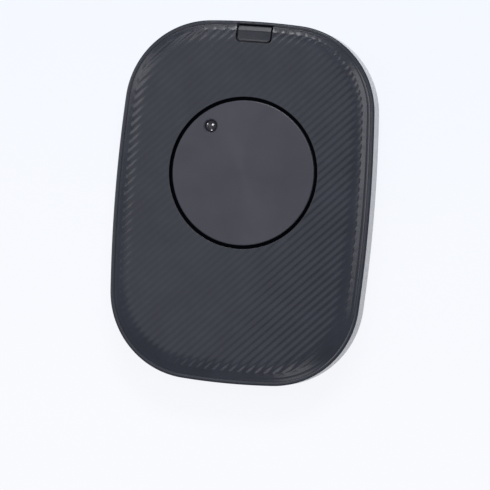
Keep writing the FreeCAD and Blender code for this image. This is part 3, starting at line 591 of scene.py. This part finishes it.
def cover_shell():
    """The black top cover: lip, groove, pillow with its ridges, well, opening and underside."""
    bm = bmesh.new()
    loops = [loop_at(inset) for inset, z in RIM]
    for within in (PILLOW_EDGE - EDGE_BEND, PILLOW_EDGE + EDGE_BEND, RIDGE_FADE[0]):
        loops.append(loop_at(within)[:, :2] + PILLOW_SHIFT)
    well_edge = WELL_RADIUS + WELL_ROUND
    loops.append(circle(DISC_AXIS, well_edge, WELL_STEPS))
    opening = BUTTON_GAP + BUTTON_EDGE
    loops.append(subdivided(button_outline(opening), OPENING_STEP))

    def on_top(x, y):
        return (from_disc_axis(x, y) > well_edge - SLIVER) & (button_distance(x, y, opening) > -SLIVER)

    add_sheet(bm, loops, on_top, cover_height, ridge_rows())

    # outer edge, from the lip's crest out and down to the parting plane
    profile = [(LIP_CREST[0], LIP_TOP)] + [(inset, LIP_TOP - drop) for inset, drop in LIP_BEVEL]
    profile += [(0.0, PARTING + PARTING_CHAMFER), (PARTING_CHAMFER, PARTING)]
    add_rings(bm, profile)
    merge(bm)

    # well: chamfer, wall, floor, and the pan below
    def on_well(p):
        return abs(from_disc_axis(p[0], p[1]) - well_edge) < NEAR and p[2] > PARTING

    def at_radius(radius, z):
        def place(p):
            away = Vector((p[0] - DISC_AXIS[0], p[1] - DISC_AXIS[1])).normalized() * radius
            return (DISC_AXIS[0] + away[0], DISC_AXIS[1] + away[1], z)
        return place

    def lowered(radius, drop):
        """At a radius, and below the cover's ridged top there by a drop."""
        def place(p):
            top = cover_height(*at_radius(well_edge, 0.0)(p)[:2])
            return at_radius(radius, top - drop)(p)
        return place

    hollow_top = PLATEAU - COVER_THICKNESS
    pan_bottom = RING_BOTTOM - PAN_FLOOR
    edge = open_edges(bm, on_well)
    for out, drop in quarter_turn(WELL_ROUND, ROUND_STEPS)[1:]:
        edge = extrude(bm, edge, lowered(WELL_RADIUS + out, drop))
    for radius, z in (
        (WELL_RADIUS, PARTING + WELL_FOOT),
        (WELL_RADIUS - WELL_FOOT, PARTING),
        (PAN_HOLE_RADIUS, PARTING),
        (PAN_HOLE_RADIUS, pan_bottom),
        (WELL_RADIUS + PAN_WALL, pan_bottom),
        (WELL_RADIUS + PAN_WALL, hollow_top),
    ):
        edge = extrude(bm, edge, at_radius(radius, z))

    # opening: rounded edge and wall down to the parting plane
    def on_opening(p):
        return abs(button_distance(p[0], p[1], opening)) < NEAR and p[2] > PARTING + BUTTON_EDGE

    edge = extrude(bm, open_edges(bm, on_opening), rounded_edge(opening, BUTTON_EDGE))
    edge = extrude(bm, edge, at_level(PARTING))
    opening_loop = [v.co / MM for v in {v for e in edge for v in e.verts}]
    middle = (0.0, (BUTTON_FRONT + BUTTON_REAR) / 2)
    opening_loop.sort(key=lambda p: atan2(p[1] - middle[1], p[0] - middle[0]))

    # underside: the rim's parting face and the hollow inside it
    outer = loop_at(PARTING_CHAMFER)
    inner = loop_at(THICK_RIM)

    def on_rim(x, y):
        return (inset_of(x, y) < THICK_RIM) & (button_distance(x, y, BUTTON_GAP) > -SLIVER)

    add_sheet(bm, [outer, inner, opening_loop], on_rim, PARTING)
    pan = (DISC_AXIS, WELL_RADIUS + PAN_WALL, WELL_STEPS)
    add_sheet(bm, [inner, circle(*pan)], outside([pan]), hollow_top)
    add_rings(bm, [(THICK_RIM, PARTING), (THICK_RIM, hollow_top)])
    add_tongue(bm)
    sill_low = (-BUTTON_HALF_WIDTH - BUTTON_GAP, BUTTON_REAR + SILL_CLEARANCE, PARTING)
    sill_high = (-sill_low[0], BUTTON_REAR + BUTTON_GAP + OVERLAP, PARTING + SILL_THICKNESS)
    add_block(bm, sill_low, sill_high)
    hole, radius, top = COVER_SCREW_HOLE, COVER_BOSS_RADIUS, hollow_top + OVERLAP
    boss = [(0, COVER_SCREW_TIP), (hole, COVER_SCREW_TIP), (hole, COVER_BOTTOM)]
    boss += [(radius, COVER_BOTTOM), (radius, top), (0, top)]
    for place in FOOT_PLACES:
        add_turned(bm, place, boss, steps=48)
    return finish_mesh(bm, "cover_shell")


def add_tongue(bm):
    """The cover's tongue inside the base's wall, open where the button's flange passes."""
    outer, inner = TONGUE["inset"], TONGUE["inset"] + TONGUE["thickness"]
    bottom, top = PARTING - TONGUE["depth"], PARTING + OVERLAP
    first = loop_at(outer, bottom)
    gap = (first[:, 1] > 0) & (np.abs(first[:, 0]) < TONGUE["gap"])
    start = int(np.flatnonzero(gap)[-1]) + 1
    kept = [n % len(first) for n in range(start, start + len(first)) if not gap[n % len(first)]]
    levels = ((outer, top), (outer, bottom), (inner, bottom), (inner, top))
    rows = [add_row(bm, loop_at(inset, z)[kept]) for inset, z in levels]
    for row_a, row_b in zip(rows, rows[1:] + rows[:1]):
        bridge(bm, row_a, row_b, closed=False)
    for end in (0, -1):
        bm.faces.new([row[end] for row in rows])


def button_cap():
    """The power button: a cap with a finger dish, the flange that keeps it in, and its stem."""
    bm = bmesh.new()
    edge = subdivided(button_outline(-BUTTON_EDGE), CAP_STEP)
    chains = []
    room_x, room_y = CAP_GRID_ROOM
    for x in np.arange(-BUTTON_HALF_WIDTH + room_x[0], BUTTON_HALF_WIDTH - room_x[1], CAP_GRID[0]):
        y = np.arange(BUTTON_FRONT + room_y[0], BUTTON_REAR - room_y[1], CAP_GRID[1])
        y = y[button_distance(np.full(len(y), x), y) < -BUTTON_EDGE - CAP_GRID_EDGE]
        chains.append([(x, place) for place in y])

    def in_cap(x, y):
        return button_distance(x, y, -BUTTON_EDGE) < SLIVER

    add_sheet(bm, [edge], in_cap, button_height, chains)
    rim = extrude(bm, open_edges(bm, lambda p: True), rounded_edge(-BUTTON_EDGE, -BUTTON_EDGE))
    rim = extrude(bm, rim, at_level(BUTTON_FLANGE[0]))
    bmesh.ops.contextual_create(bm, geom=rim)
    piece = finish_mesh(bm, "button_cap")

    flange = bmesh.new()
    low = (*BUTTON_LOW[:2], BUTTON_FLANGE[0] - FLANGE_OVERLAP)
    high = (BUTTON_HIGH[0], BUTTON_REAR - FLANGE_REAR, BUTTON_FLANGE[1])
    add_block(flange, low, high)
    joined(piece, flange)
    stem = bmesh.new()
    bottom = BUTTON_LOW[2]
    radius = BUTTON_STEM_RADIUS
    profile = [(0, bottom), (radius, bottom), (radius, PARTING), (0, PARTING)]
    add_turned(stem, (0.0, SWITCH_Y), profile, steps=40)
    return joined(piece, stem)


def turntable():
    """The disc with its rounded edge, the marker's seat, and the hub below."""
    bm = bmesh.new()
    seat_edge = LENS_SEAT_RADIUS + LENS_COUNTERSINK
    flat = DISC_RADIUS - DISC_EDGE_ROUND
    loops = [circle(DISC_AXIS, radius, DISC_STEPS) for radius in (flat - DISC_EDGE_RING, flat)]
    loops.append(circle(LENS_AXIS, seat_edge, LENS_SEAT_STEPS))
    add_sheet(bm, loops, outside([(LENS_AXIS, seat_edge, LENS_SEAT_STEPS)]), PLATEAU)
    hub_bottom = DISC_LOW[2]
    rounding = quarter_turn(DISC_EDGE_ROUND, ROUND_STEPS)
    profile = [(DISC_RADIUS - out, PLATEAU - drop) for out, drop in rounding]
    profile += [(DISC_RADIUS, DISC_BOTTOM + DISC_CHAMFER), (DISC_RADIUS - DISC_CHAMFER, DISC_BOTTOM)]
    profile += [(HUB_RADIUS, DISC_BOTTOM), (HUB_RADIUS, hub_bottom)]
    add_turned(bm, DISC_AXIS, profile, DISC_STEPS)
    floor = PLATEAU - LENS_SEAT_DEPTH
    seat = [(seat_edge, PLATEAU), (LENS_SEAT_RADIUS, PLATEAU - LENS_COUNTERSINK)]
    seat += [(LENS_SEAT_RADIUS, floor), (0, floor)]
    add_turned(bm, LENS_AXIS, seat, LENS_SEAT_STEPS)

    # underside of the hub, with its bore and the screws' holes: place, radius, steps and top of each
    holes = [(DISC_AXIS, HUB_BORE, 64, DISC_BOTTOM - HUB_ROOF)]
    for turn in range(3):
        angle = radians(90 + 120 * turn)
        x = DISC_AXIS[0] + HUB_SCREW_PITCH * cos(angle)
        y = DISC_AXIS[1] + HUB_SCREW_PITCH * sin(angle)
        holes.append(((x, y), HUB_SCREW_HOLE, 24, HUB_SCREW_TIP))
    loops = [circle(DISC_AXIS, HUB_RADIUS, DISC_STEPS)]
    loops += [circle(place, radius, steps) for place, radius, steps, top in holes]
    add_sheet(bm, loops, outside(holes), hub_bottom)
    for place, radius, steps, top in holes:
        add_turned(bm, place, [(radius, hub_bottom), (radius, top), (0, top)], steps)
    return finish_mesh(bm, "turntable", sharp_angle=32.0)


def marker_dome():
    """The glossy dome that the mouse's sensor sees go by."""
    band = LENS_BOTTOM + LENS_BAND
    rise = LENS_TOP - band
    dome = (LENS_RADIUS ** 2 + rise ** 2) / (2 * rise)
    profile = [(0, LENS_BOTTOM), (LENS_RADIUS - LENS_CHAMFER, LENS_BOTTOM)]
    profile += [(LENS_RADIUS, LENS_BOTTOM + LENS_CHAMFER), (LENS_RADIUS, band)]
    reach = asin(LENS_RADIUS / dome)
    for step in range(1, DOME_STEPS):
        angle = reach * (1 - step / DOME_STEPS)
        profile.append((dome * sin(angle), LENS_TOP - dome * (1 - cos(angle))))
    profile.append((0, LENS_TOP))
    bm = bmesh.new()
    add_turned(bm, LENS_AXIS, profile, steps=96)
    return finish_mesh(bm, "marker_dome", sharp_angle=50.0)


def foot_pads():
    """Four rubber feet with rounded lower edges."""
    bm = bmesh.new()
    rounding = quarter_turn(FOOT_ROUND, FOOT_ROUND_STEPS)
    profile = [(0, FOOT_BOTTOM)] + [(FOOT_RADIUS - out, FOOT_BOTTOM + rise) for out, rise in rounding]
    profile += [(FOOT_RADIUS, FOOT_TOP), (0, FOOT_TOP)]
    for place in FOOT_PLACES:
        add_turned(bm, place, profile, steps=72)
    return finish_mesh(bm, "foot_pads")


# ======== material helpers
def new_material(name):
    """A material with an empty node tree, and the tree."""
    material = bpy.data.materials.new(name)
    material.use_nodes = True
    material.node_tree.nodes.clear()
    return material, material.node_tree


def add_node(tree, kind, inputs=None, **settings):
    """A shader node with its settings. Each input takes a value or another node's output."""
    node = tree.nodes.new("ShaderNode" + kind)
    for key, value in settings.items():
        setattr(node, key, value)
    for key, value in (inputs or {}).items():
        if isinstance(value, bpy.types.NodeSocket):
            tree.links.new(value, node.inputs[key])
        else:
            node.inputs[key].default_value = value
    return node


def calc(tree, operation, a, b=0.0, c=0.0):
    return add_node(tree, "Math", {0: a, 1: b, 2: c}, operation=operation).outputs[0]


def place_of(tree):
    """The point's place in the part's frame, in metres."""
    return add_node(tree, "TexCoord").outputs["Object"]


def split_place(tree):
    """The place's X, Y and Z."""
    return add_node(tree, "SeparateXYZ", {"Vector": place_of(tree)}).outputs


def from_axis(tree, axis):
    """The offsets and the distance from an upright axis, and the height, in metres."""
    parts = split_place(tree)
    away_x = calc(tree, "SUBTRACT", parts["X"], axis[0] * MM)
    away_y = calc(tree, "SUBTRACT", parts["Y"], axis[1] * MM)
    square = calc(tree, "MULTIPLY_ADD", away_x, away_x, calc(tree, "MULTIPLY", away_y, away_y))
    return away_x, away_y, calc(tree, "SQRT", square), parts["Z"]


def noise(tree, size_mm, detail=2.0, roughness=0.5, vector=None, stretch=None):
    """Noise whose features are about as large as given. Its value runs from 0 to 1."""
    vector = vector or place_of(tree)
    if stretch:
        vector = add_node(tree, "Mapping", {"Vector": vector, "Scale": stretch}).outputs[0]
    inputs = {"Vector": vector, "Scale": 1 / (size_mm * MM), "Detail": detail, "Roughness": roughness}
    return add_node(tree, "TexNoise", inputs).outputs["Fac"]


def cells(tree, size_mm, output, **settings):
    """An output of Voronoi cells of about a size."""
    inputs = {"Vector": place_of(tree), "Scale": 1 / (size_mm * MM)}
    return add_node(tree, "TexVoronoi", inputs, **settings).outputs[output]


def spread(tree, value, low=0.0, high=1.0, first=0.35, last=0.65):
    """A value from first to last, spread between low and high."""
    inputs = {"Value": value, "From Min": first, "From Max": last, "To Min": low, "To Max": high}
    return add_node(tree, "MapRange", inputs).outputs["Result"]


def mixed(tree, share, first, second):
    """A colour between two colours, each an output or three numbers."""
    inputs = {0: share}
    for number, value in ((6, first), (7, second)):
        inputs[number] = value if isinstance(value, bpy.types.NodeSocket) else (*value, 1.0)
    return add_node(tree, "Mix", inputs, data_type="RGBA").outputs[2]


def bump(tree, height, depth_mm):
    """A normal bent by a height that runs from 0 to 1."""
    return add_node(tree, "Bump", {"Height": height, "Distance": depth_mm * MM}).outputs["Normal"]


def shaded(color, factor):
    return tuple(min(1.0, channel * factor) for channel in color)


def varied(tree, share, color, amount):
    """A colour from an amount darker than given to an amount lighter."""
    return mixed(tree, share, shaded(color, 1 - amount), shaded(color, 1 + amount))


def principled(material, tree, inputs):
    shader = add_node(tree, "BsdfPrincipled", inputs)
    add_node(tree, "OutputMaterial", {"Surface": shader.outputs[0]})
    return material


def surface(name, color, roughness, metallic=0.0, mottle=0.12, mottle_mm=9.0, grain_mm=0.12,
            grain_depth=0.004, wear=0.25, stretch=None, **more):
    """A moulded, painted or machined surface.

    Its colour and roughness drift over some millimetres, its grain is bumped, and its convex edges
    are painted lighter: partly polish wear, partly a painted highlight. stretch draws the grain out
    along an axis, as brushing does.
    """
    material, tree = new_material(name)
    drift = noise(tree, mottle_mm, 3.0)
    tone = varied(tree, spread(tree, drift), color, mottle)
    # convex edges painted lighter: partly polish wear, partly a painted highlight on the corners
    pointiness = add_node(tree, "NewGeometry").outputs["Pointiness"]
    edge_wear_and_highlight = spread(tree, pointiness, 0.0, wear, 0.52, 0.62)
    tone = mixed(tree, edge_wear_and_highlight, tone, shaded(color, 1.6))
    grain = noise(tree, grain_mm, 2.0, 0.6, stretch=stretch)
    rough = spread(tree, drift, roughness * 0.92, roughness * 1.08)
    inputs = {
        "Base Color": tone,
        "Roughness": calc(tree, "ADD", rough, spread(tree, grain, -0.03, 0.03)),
        "Metallic": metallic,
        "Normal": bump(tree, grain, grain_depth),
    }
    return principled(material, tree, {**inputs, **more})


# ======== finishes
SATIN = dict(mottle=0.10, grain_mm=0.09, grain_depth=0.002, wear=0.12)  # a fine eroded grain
SURFACES = {  # colour, roughness, and what more surface is told
    "cover_black": ((0.0225, 0.0250, 0.0390), 0.21, SATIN),
    "button_black": ((0.020, 0.0235, 0.034), 0.22, SATIN),
    # painted shade: the cover's faces down in its gaps, near black and with almost no gloss
    "painted_gap_shade": ((0.001, 0.0014, 0.003), 0.7,
        {"grain_mm": 0.2, "wear": 0.0, "Specular IOR Level": 0.05}),
    # polished, with the slightest waviness
    "lens_black": ((0.010, 0.0095, 0.013), 0.07,
        dict(mottle=0.05, grain_mm=0.9, grain_depth=0.002, wear=0.0)),
    "foot_rubber": ((0.028, 0.028, 0.030), 0.72,
        dict(mottle=0.18, mottle_mm=3.0, grain_mm=0.14, grain_depth=0.02)),
    # nickel-plated, with fine drawing lines
    "steel": ((0.60, 0.60, 0.61), 0.27, dict(metallic=1.0, mottle=0.06, mottle_mm=4.0,
        grain_mm=0.30, grain_depth=0.0012, wear=0.3, stretch=(1.0, 1.0, 0.08))),
    "black_steel": ((0.06, 0.06, 0.065), 0.40,
        dict(metallic=0.8, mottle_mm=2.0, grain_mm=0.10, grain_depth=0.003, wear=0.6)),
    # natural acetal, slightly cloudy
    "gear_resin": ((0.78, 0.77, 0.72), 0.38,
        dict(mottle=0.04, mottle_mm=5.0, grain_mm=0.20, grain_depth=0.002, wear=0.1)),
    # hobbed: the cutter's marks run along the teeth
    "gear_brass": ((0.72, 0.53, 0.22), 0.26, dict(metallic=1.0, mottle=0.08, mottle_mm=1.5,
        grain_mm=0.12, grain_depth=0.002, wear=0.3, stretch=(1.0, 1.0, 0.1))),
    "slip_ring_white": ((0.85, 0.85, 0.84), 0.33, dict(mottle=0.03, grain_mm=0.25, wear=0.0)),
    # sintered: dull; its edges are painted lighter, for fine chips and as a painted highlight
    "ferrite": ((0.07, 0.07, 0.075), 0.58,
        dict(mottle=0.2, mottle_mm=1.2, grain_mm=0.09, grain_depth=0.008, wear=0.8)),
    # glass-filled nylon, with its fibres just showing
    "bobbin_resin": ((0.65, 0.63, 0.57), 0.48,
        dict(mottle=0.07, mottle_mm=2.0, grain_mm=0.08, stretch=(0.2, 1.0, 1.0))),
    "connector_resin": ((0.80, 0.78, 0.70), 0.42,
        dict(mottle=0.04, mottle_mm=2.0, grain_mm=0.15, grain_depth=0.003, wear=0.1)),
    "socket_resin": ((0.03, 0.03, 0.03), 0.5,
        dict(mottle=0.15, mottle_mm=1.5, grain_mm=0.08, grain_depth=0.003, wear=0.3)),
    "gold": ((0.90, 0.65, 0.25), 0.2,
        dict(metallic=1.0, mottle=0.05, mottle_mm=0.8, grain_mm=0.1, grain_depth=0.001, wear=0.1)),
    # soft, with a faint waviness from its extrusion
    "lead_sheath": ((0.35, 0.03, 0.03), 0.42,
        dict(mottle=0.1, mottle_mm=2.5, grain_mm=0.5, grain_depth=0.01, wear=0.1)),
}


def disc_black():
    """Satin black disc, turned: a fine grain runs round its axis and stretches the highlights."""
    material, tree = new_material("disc_black")
    away_x, away_y, radius, height = from_axis(tree, DISC_AXIS)
    turned = add_node(tree, "CombineXYZ", {"X": radius, "Z": height}).outputs[0]
    groove = noise(tree, 0.16, 3.0, 0.6, vector=turned)
    drift = noise(tree, 11.0, 2.0)
    grain = noise(tree, 0.08, 2.0)
    color = (0.0345, 0.0350, 0.0490)
    outward = add_node(tree, "CombineXYZ", {"X": away_x, "Y": away_y}).outputs[0]
    spiral = add_node(tree, "VectorRotate", {"Vector": outward, "Angle": GRAIN_SPIRAL}).outputs[0]
    inputs = {
        "Base Color": varied(tree, spread(tree, drift), color, 0.06),
        "Roughness": spread(tree, groove, 0.29, 0.37),
        "Anisotropic": 0.78,
        "Tangent": add_node(tree, "VectorMath", {0: spiral}, operation="NORMALIZE").outputs[0],
        "Normal": bump(tree, calc(tree, "MULTIPLY_ADD", grain, 0.35, groove), 0.004),
    }
    return principled(material, tree, inputs)


def shell_silver():
    """Satin metallic silver paint with fine flakes."""
    material, tree = new_material("shell_silver")
    color = (0.47, 0.475, 0.50)
    drift = noise(tree, 14.0, 2.0)
    sparkle = add_node(tree, "SeparateColor", {"Color": cells(tree, 0.06, "Color")}).outputs[0]
    tone = varied(tree, sparkle, color, 0.07)
    inputs = {
        "Base Color": mixed(tree, spread(tree, drift, 0.0, 0.12), tone, shaded(color, 0.85)),
        "Metallic": 0.2,
        "Roughness": spread(tree, sparkle, 0.45, 0.55, 0.0, 1.0),
        "Specular IOR Level": 0.2,
        "Normal": bump(tree, noise(tree, 0.10), 0.002),
    }
    return principled(material, tree, inputs)


def sintered_bronze():
    """Oil-filled sintered bronze: open pores between the pressed grains."""
    material, tree = new_material("sintered_bronze")
    pores = spread(tree, cells(tree, 0.11, "Distance"), 1.0, 0.0, 0.05, 0.25)
    color = (0.50, 0.33, 0.16)
    inputs = {
        "Base Color": mixed(tree, pores, shaded(color, 1.1), shaded(color, 0.35)),
        "Metallic": 0.9,
        "Roughness": spread(tree, pores, 0.38, 0.7, 0.0, 1.0),
        "Normal": bump(tree, calc(tree, "SUBTRACT", 1.0, pores), 0.01),
    }
    return principled(material, tree, inputs)


def winding():
    """Enamelled copper wire, wound round the motor's axis."""
    material, tree = new_material("winding")
    radius, height = from_axis(tree, middle_of("motor_magnet"))[2:]
    turns = calc(tree, "ADD", radius, height)
    wave = calc(tree, "SINE", calc(tree, "MULTIPLY", turns, 2 * pi / (WIRE_PITCH * MM)))
    wire = spread(tree, wave, 0.0, 1.0, -1.0, 1.0)
    color = (0.55, 0.22, 0.10)
    inputs = {
        "Base Color": mixed(tree, wire, shaded(color, 0.35), shaded(color, 1.1)),
        "Metallic": 0.7,
        "Roughness": spread(tree, noise(tree, 0.6), 0.25, 0.4),
        "Normal": bump(tree, wire, 0.04),
        "Coat Weight": 0.6,
        "Coat Roughness": 0.15,
    }
    return principled(material, tree, inputs)


def board_green():
    """Glass-epoxy board: copper tracks stand slightly proud under green solder mask."""
    material, tree = new_material("board_green")
    tracks = cells(tree, 1.1, "Distance", distance="MANHATTAN", feature="F1")
    rings = calc(tree, "FRACT", calc(tree, "MULTIPLY", tracks, 3.0))
    copper = spread(tree, rings, 0.0, 1.0, 0.46, 0.54)
    weave = noise(tree, 0.25, 1.0, stretch=(1.0, 0.3, 1.0))
    mask = mixed(tree, spread(tree, weave), (0.010, 0.085, 0.035), (0.016, 0.115, 0.050))
    inputs = {
        "Base Color": mixed(tree, copper, mask, (0.030, 0.200, 0.085)),
        "Roughness": spread(tree, noise(tree, 3.0), 0.22, 0.34),
        "Normal": bump(tree, copper, 0.02),
    }
    return principled(material, tree, inputs)


def chip_resin():
    """Moulded epoxy package. Whatever stands out of the driver's body is a tinned pin."""
    material, tree = new_material("chip_resin")
    low, high = corners("driver_chip")
    reach = (high[0] - low[0]) / 2
    parts = split_place(tree)
    far_x = calc(tree, "SUBTRACT", parts["X"], middle_of("driver_chip")[0] * MM)
    far_x = calc(tree, "ABSOLUTE", far_x)
    near = calc(tree, "LESS_THAN", far_x, (reach + NEAR) * MM)
    pin = calc(tree, "GREATER_THAN", far_x, (reach - DRIVER_PIN_REACH) * MM)
    on_driver = calc(tree, "LESS_THAN", parts["Y"], (high[1] + NEAR) * MM)
    pin = calc(tree, "MULTIPLY", calc(tree, "MULTIPLY", pin, near), on_driver)
    grain = noise(tree, 0.07, 2.0)
    cloud = spread(tree, noise(tree, 1.5))
    resin = mixed(tree, cloud, (0.024, 0.024, 0.027), (0.034, 0.034, 0.037))
    rough = spread(tree, grain, 0.48, 0.60)
    inputs = {
        "Base Color": mixed(tree, pin, resin, (0.72, 0.72, 0.70)),
        "Metallic": pin,
        "Roughness": calc(tree, "SUBTRACT", rough, calc(tree, "MULTIPLY", pin, 0.2)),
        "Normal": bump(tree, grain, 0.004),
    }
    return principled(material, tree, inputs)


def capacitor_tan():
    """Fired ceramic with tinned ends."""
    material, tree = new_material("capacitor_tan")
    first_end = corners("capacitors")[0][0]
    along = calc(tree, "SUBTRACT", split_place(tree)["X"], first_end * MM)
    within = calc(tree, "MODULO", along, CAPACITOR_PITCH * MM)
    from_middle = calc(tree, "ABSOLUTE", calc(tree, "SUBTRACT", within, CAPACITOR_WIDTH / 2 * MM))
    end = calc(tree, "GREATER_THAN", from_middle, (CAPACITOR_WIDTH / 2 - CAPACITOR_END) * MM)
    cloud = spread(tree, noise(tree, 0.5))
    fired = mixed(tree, cloud, (0.36, 0.23, 0.13), (0.47, 0.32, 0.20))
    inputs = {
        "Base Color": mixed(tree, end, fired, (0.74, 0.74, 0.73)),
        "Metallic": end,
        "Roughness": spread(tree, noise(tree, 0.15), 0.25, 0.4),
        "Normal": bump(tree, noise(tree, 0.12), 0.004),
    }
    return principled(material, tree, inputs)


# ======== stage, camera and lights
CAMERA_PLACE = (237.4, -6.1, 1014.6)  # millimetres
CAMERA_AIM = (2.86, -14.38, 11.6)
CAMERA_ROLL = radians(-4.606)  # about the line of sight, from +Y upright
CAMERA_LENS = 220.9
CAMERA_SENSOR = 36.0
CAMERA_REACH = 20.0  # metres
FLOOR_REACH = 3000.0
FLOOR_CORNERS = ((-1, -1), (1, -1), (1, 1), (-1, 1))
FLOOR_CLEARANCE = 0.02  # below the feet, so that floor and feet share no plane
FLOOR_GLOW = 0.92  # share of the floor's look that doesn't take a shadow
WORLD_COLOR = (0.94, 0.98, 1.03, 1)
WORLD_STRENGTH = 0.38
TOP = (0.0, 0.0, PLATEAU)  # what the lamps face, unless a lamp's aim says otherwise
BLACK = ("cover", "button", "disc", "marker")  # the pieces round which the lamps were set
LAMPS = {  # place, size, radiance, and what more softbox and link_light are told
    "key": ((115, 775, 625), (580, 230), 16.0, {"dark": ("marker", "cover", "button")}),
    "cover_shell_key": ((-60, 720, 640), (520, 180), 9.0, {"only": ("cover",)}),
    "button_cap_key": ((-60, 720, 640), (520, 180), 4.2, {"only": ("button",)}),
    "fill": ((-68, 24, 200), (156, 210), 0.5, {"aim": (-68, 24, 0), "turn": -16}),
    "right": ((500, 250, 1125), (640, 340), 2.6, {}),
    "left": ((-900, 70, 364), (500, 240), 1.6, {}),
    "left_high": ((-670, 224, 745), (250, 370), 2.0, {}),
    "front": ((10, -600, 911), (290, 250), 1.9, {}),
    "back_high": ((-400, 482, 861), (220, 150), 2.8, {"dark": ("marker",)}),
    "wall_front": ((0, -900, 130), (900, 200), 2.6, {"dark": BLACK}),
    "wall_back": ((0, 900, 130), (900, 200), 1.6, {"dark": BLACK}),
    "wall_right": ((900, 0, 130), (900, 200), 1.2, {"dark": BLACK}),
    "marker_back": ((290, 430, 950), (420, 520), 22.0, {"only": ("marker",)}),
    "marker_left": ((-900, 400, 250), (300, 420), 16.0, {"only": ("marker",)}),
    "marker_front": ((20, -880, 480), (380, 300), 18.0, {"only": ("marker",)}),
}


def camera():
    forward = (Vector(CAMERA_AIM) - Vector(CAMERA_PLACE)).normalized()
    right = forward.cross(Vector((0.0, 1.0, 0.0))).normalized()
    upright = Matrix((right, right.cross(forward), -forward)).transposed().to_4x4()
    turn = Matrix.Rotation(CAMERA_ROLL, 4, forward) @ upright
    data = bpy.data.cameras.new("camera")
    data.lens = CAMERA_LENS
    data.sensor_width = CAMERA_SENSOR
    data.clip_end = CAMERA_REACH
    view = bpy.data.objects.new("camera", data)
    view.matrix_world = Matrix.Translation(Vector(CAMERA_PLACE) * MM) @ turn
    bpy.context.scene.collection.objects.link(view)
    bpy.context.scene.camera = view


def floor_white():
    """Pale floor: it takes the part's shadow, and shows nearly white to camera and gloss."""
    material, tree = new_material("floor_white")
    diffuse = add_node(tree, "BsdfDiffuse", {"Color": (0.86, 0.87, 0.88, 1)})
    rearward = spread(tree, split_place(tree)["Y"], 0.0, 1.0, -0.08, 0.08)
    color = mixed(tree, rearward, (0.96, 0.965, 1.0), (0.90, 0.935, 1.0))
    glow = add_node(tree, "Emission", {"Color": color, "Strength": 1.0})
    rays = add_node(tree, "LightPath").outputs
    seen = calc(tree, "MAXIMUM", rays["Is Camera Ray"], rays["Is Glossy Ray"])
    seen = calc(tree, "MAXIMUM", seen, rays["Is Transmission Ray"])
    inputs = {0: calc(tree, "MULTIPLY", seen, FLOOR_GLOW), 1: diffuse.outputs[0], 2: glow.outputs[0]}
    mix = add_node(tree, "MixShader", inputs)
    add_node(tree, "OutputMaterial", {"Surface": mix.outputs[0]})
    return material


def floor():
    bm = bmesh.new()
    places = [(x * FLOOR_REACH, y * FLOOR_REACH, -FLOOR_CLEARANCE) for x, y in FLOOR_CORNERS]
    bm.faces.new(add_row(bm, places))
    piece = finish_mesh(bm, "floor")
    piece.data.materials.append(floor_white())


def softbox(name, place, size, radiance, aim, turn):
    """An area light facing a place, given by its face's radiance. Millimetres and degrees."""
    data = bpy.data.lights.new(name, "AREA")
    data.shape = "RECTANGLE"
    data.size, data.size_y = size[0] * MM, size[1] * MM
    data.energy = radiance * pi * data.size * data.size_y
    lamp = bpy.data.objects.new(name, data)
    tilt = (Vector(place) - Vector(aim)).to_track_quat("Z", "Y").to_matrix().to_4x4()
    turned = tilt @ Matrix.Rotation(radians(turn), 4, "Z")
    lamp.matrix_world = Matrix.Translation(Vector(place) * MM) @ turned
    bpy.context.scene.collection.objects.link(lamp)
    return lamp


def link_light(lamp, pieces, state):
    """Lets a lamp light only some pieces (INCLUDE), or everything but them (EXCLUDE)."""
    group = bpy.data.collections.new(lamp.name + "_reach")
    for number, piece in enumerate(pieces):
        group.objects.link(piece)
        group.collection_objects[number].light_linking.link_state = state
    lamp.light_linking.receiver_collection = group


def lights(pieces):
    """Soft studio light.

    Cover and button have weaker keys of their own, the marker has its own lamps for its
    highlights, and the low lamps that light the walls leave the black pieces dark.
    """
    for name, (place, size, radiance, more) in LAMPS.items():
        lamp = softbox(name, place, size, radiance, more.get("aim", TOP), more.get("turn", 0.0))
        for key, state in (("only", "INCLUDE"), ("dark", "EXCLUDE")):
            if key in more:
                link_light(lamp, [pieces[short] for short in more[key]], state)
    world = bpy.data.worlds.new("studio")
    world.use_nodes = True
    background = world.node_tree.nodes["Background"]
    background.inputs["Color"].default_value = WORLD_COLOR
    background.inputs["Strength"].default_value = WORLD_STRENGTH
    bpy.context.scene.world = world


# ======== the scene
finish = {name: surface(name, *look, **more) for name, (*look, more) in SURFACES.items()}
for make in (shell_silver, disc_black, sintered_bronze, winding, board_green, chip_resin, capacitor_tan):
    finish[make.__name__] = make()


def place_piece(piece, body, slot, node):
    """Rides on its body, stands for its CAD node and takes its slot's finish."""
    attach(piece, body)
    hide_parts(node)
    piece.data.materials.clear()
    piece.data.materials.append(finish[slot])
    return piece


cover = place_piece(cover_shell(), "case", "cover_black", "top_cover")
button = place_piece(button_cap(), "button", "button_black", "power_button")
# paints shade into the faces down in the well and round the button
paint_gap_shade(cover)
paint_gap_shade(button)
disc = place_piece(turntable(), "turntable", "disc_black", "turntable_disc")
marker = place_piece(marker_dome(), "turntable", "lens_black", "marker_lens")
place_piece(foot_pads(), "case", "foot_rubber", "rubber_feet")
for part in frame["record"]["subparts"]:
    for slot in frame["nodes"][part["node"]].material_slots:
        slot.material = finish[part["material_slot"]]

camera()
floor()
lights({"cover": cover, "button": button, "disc": disc, "marker": marker})
bpy.context.scene.view_settings.view_transform = "Standard"
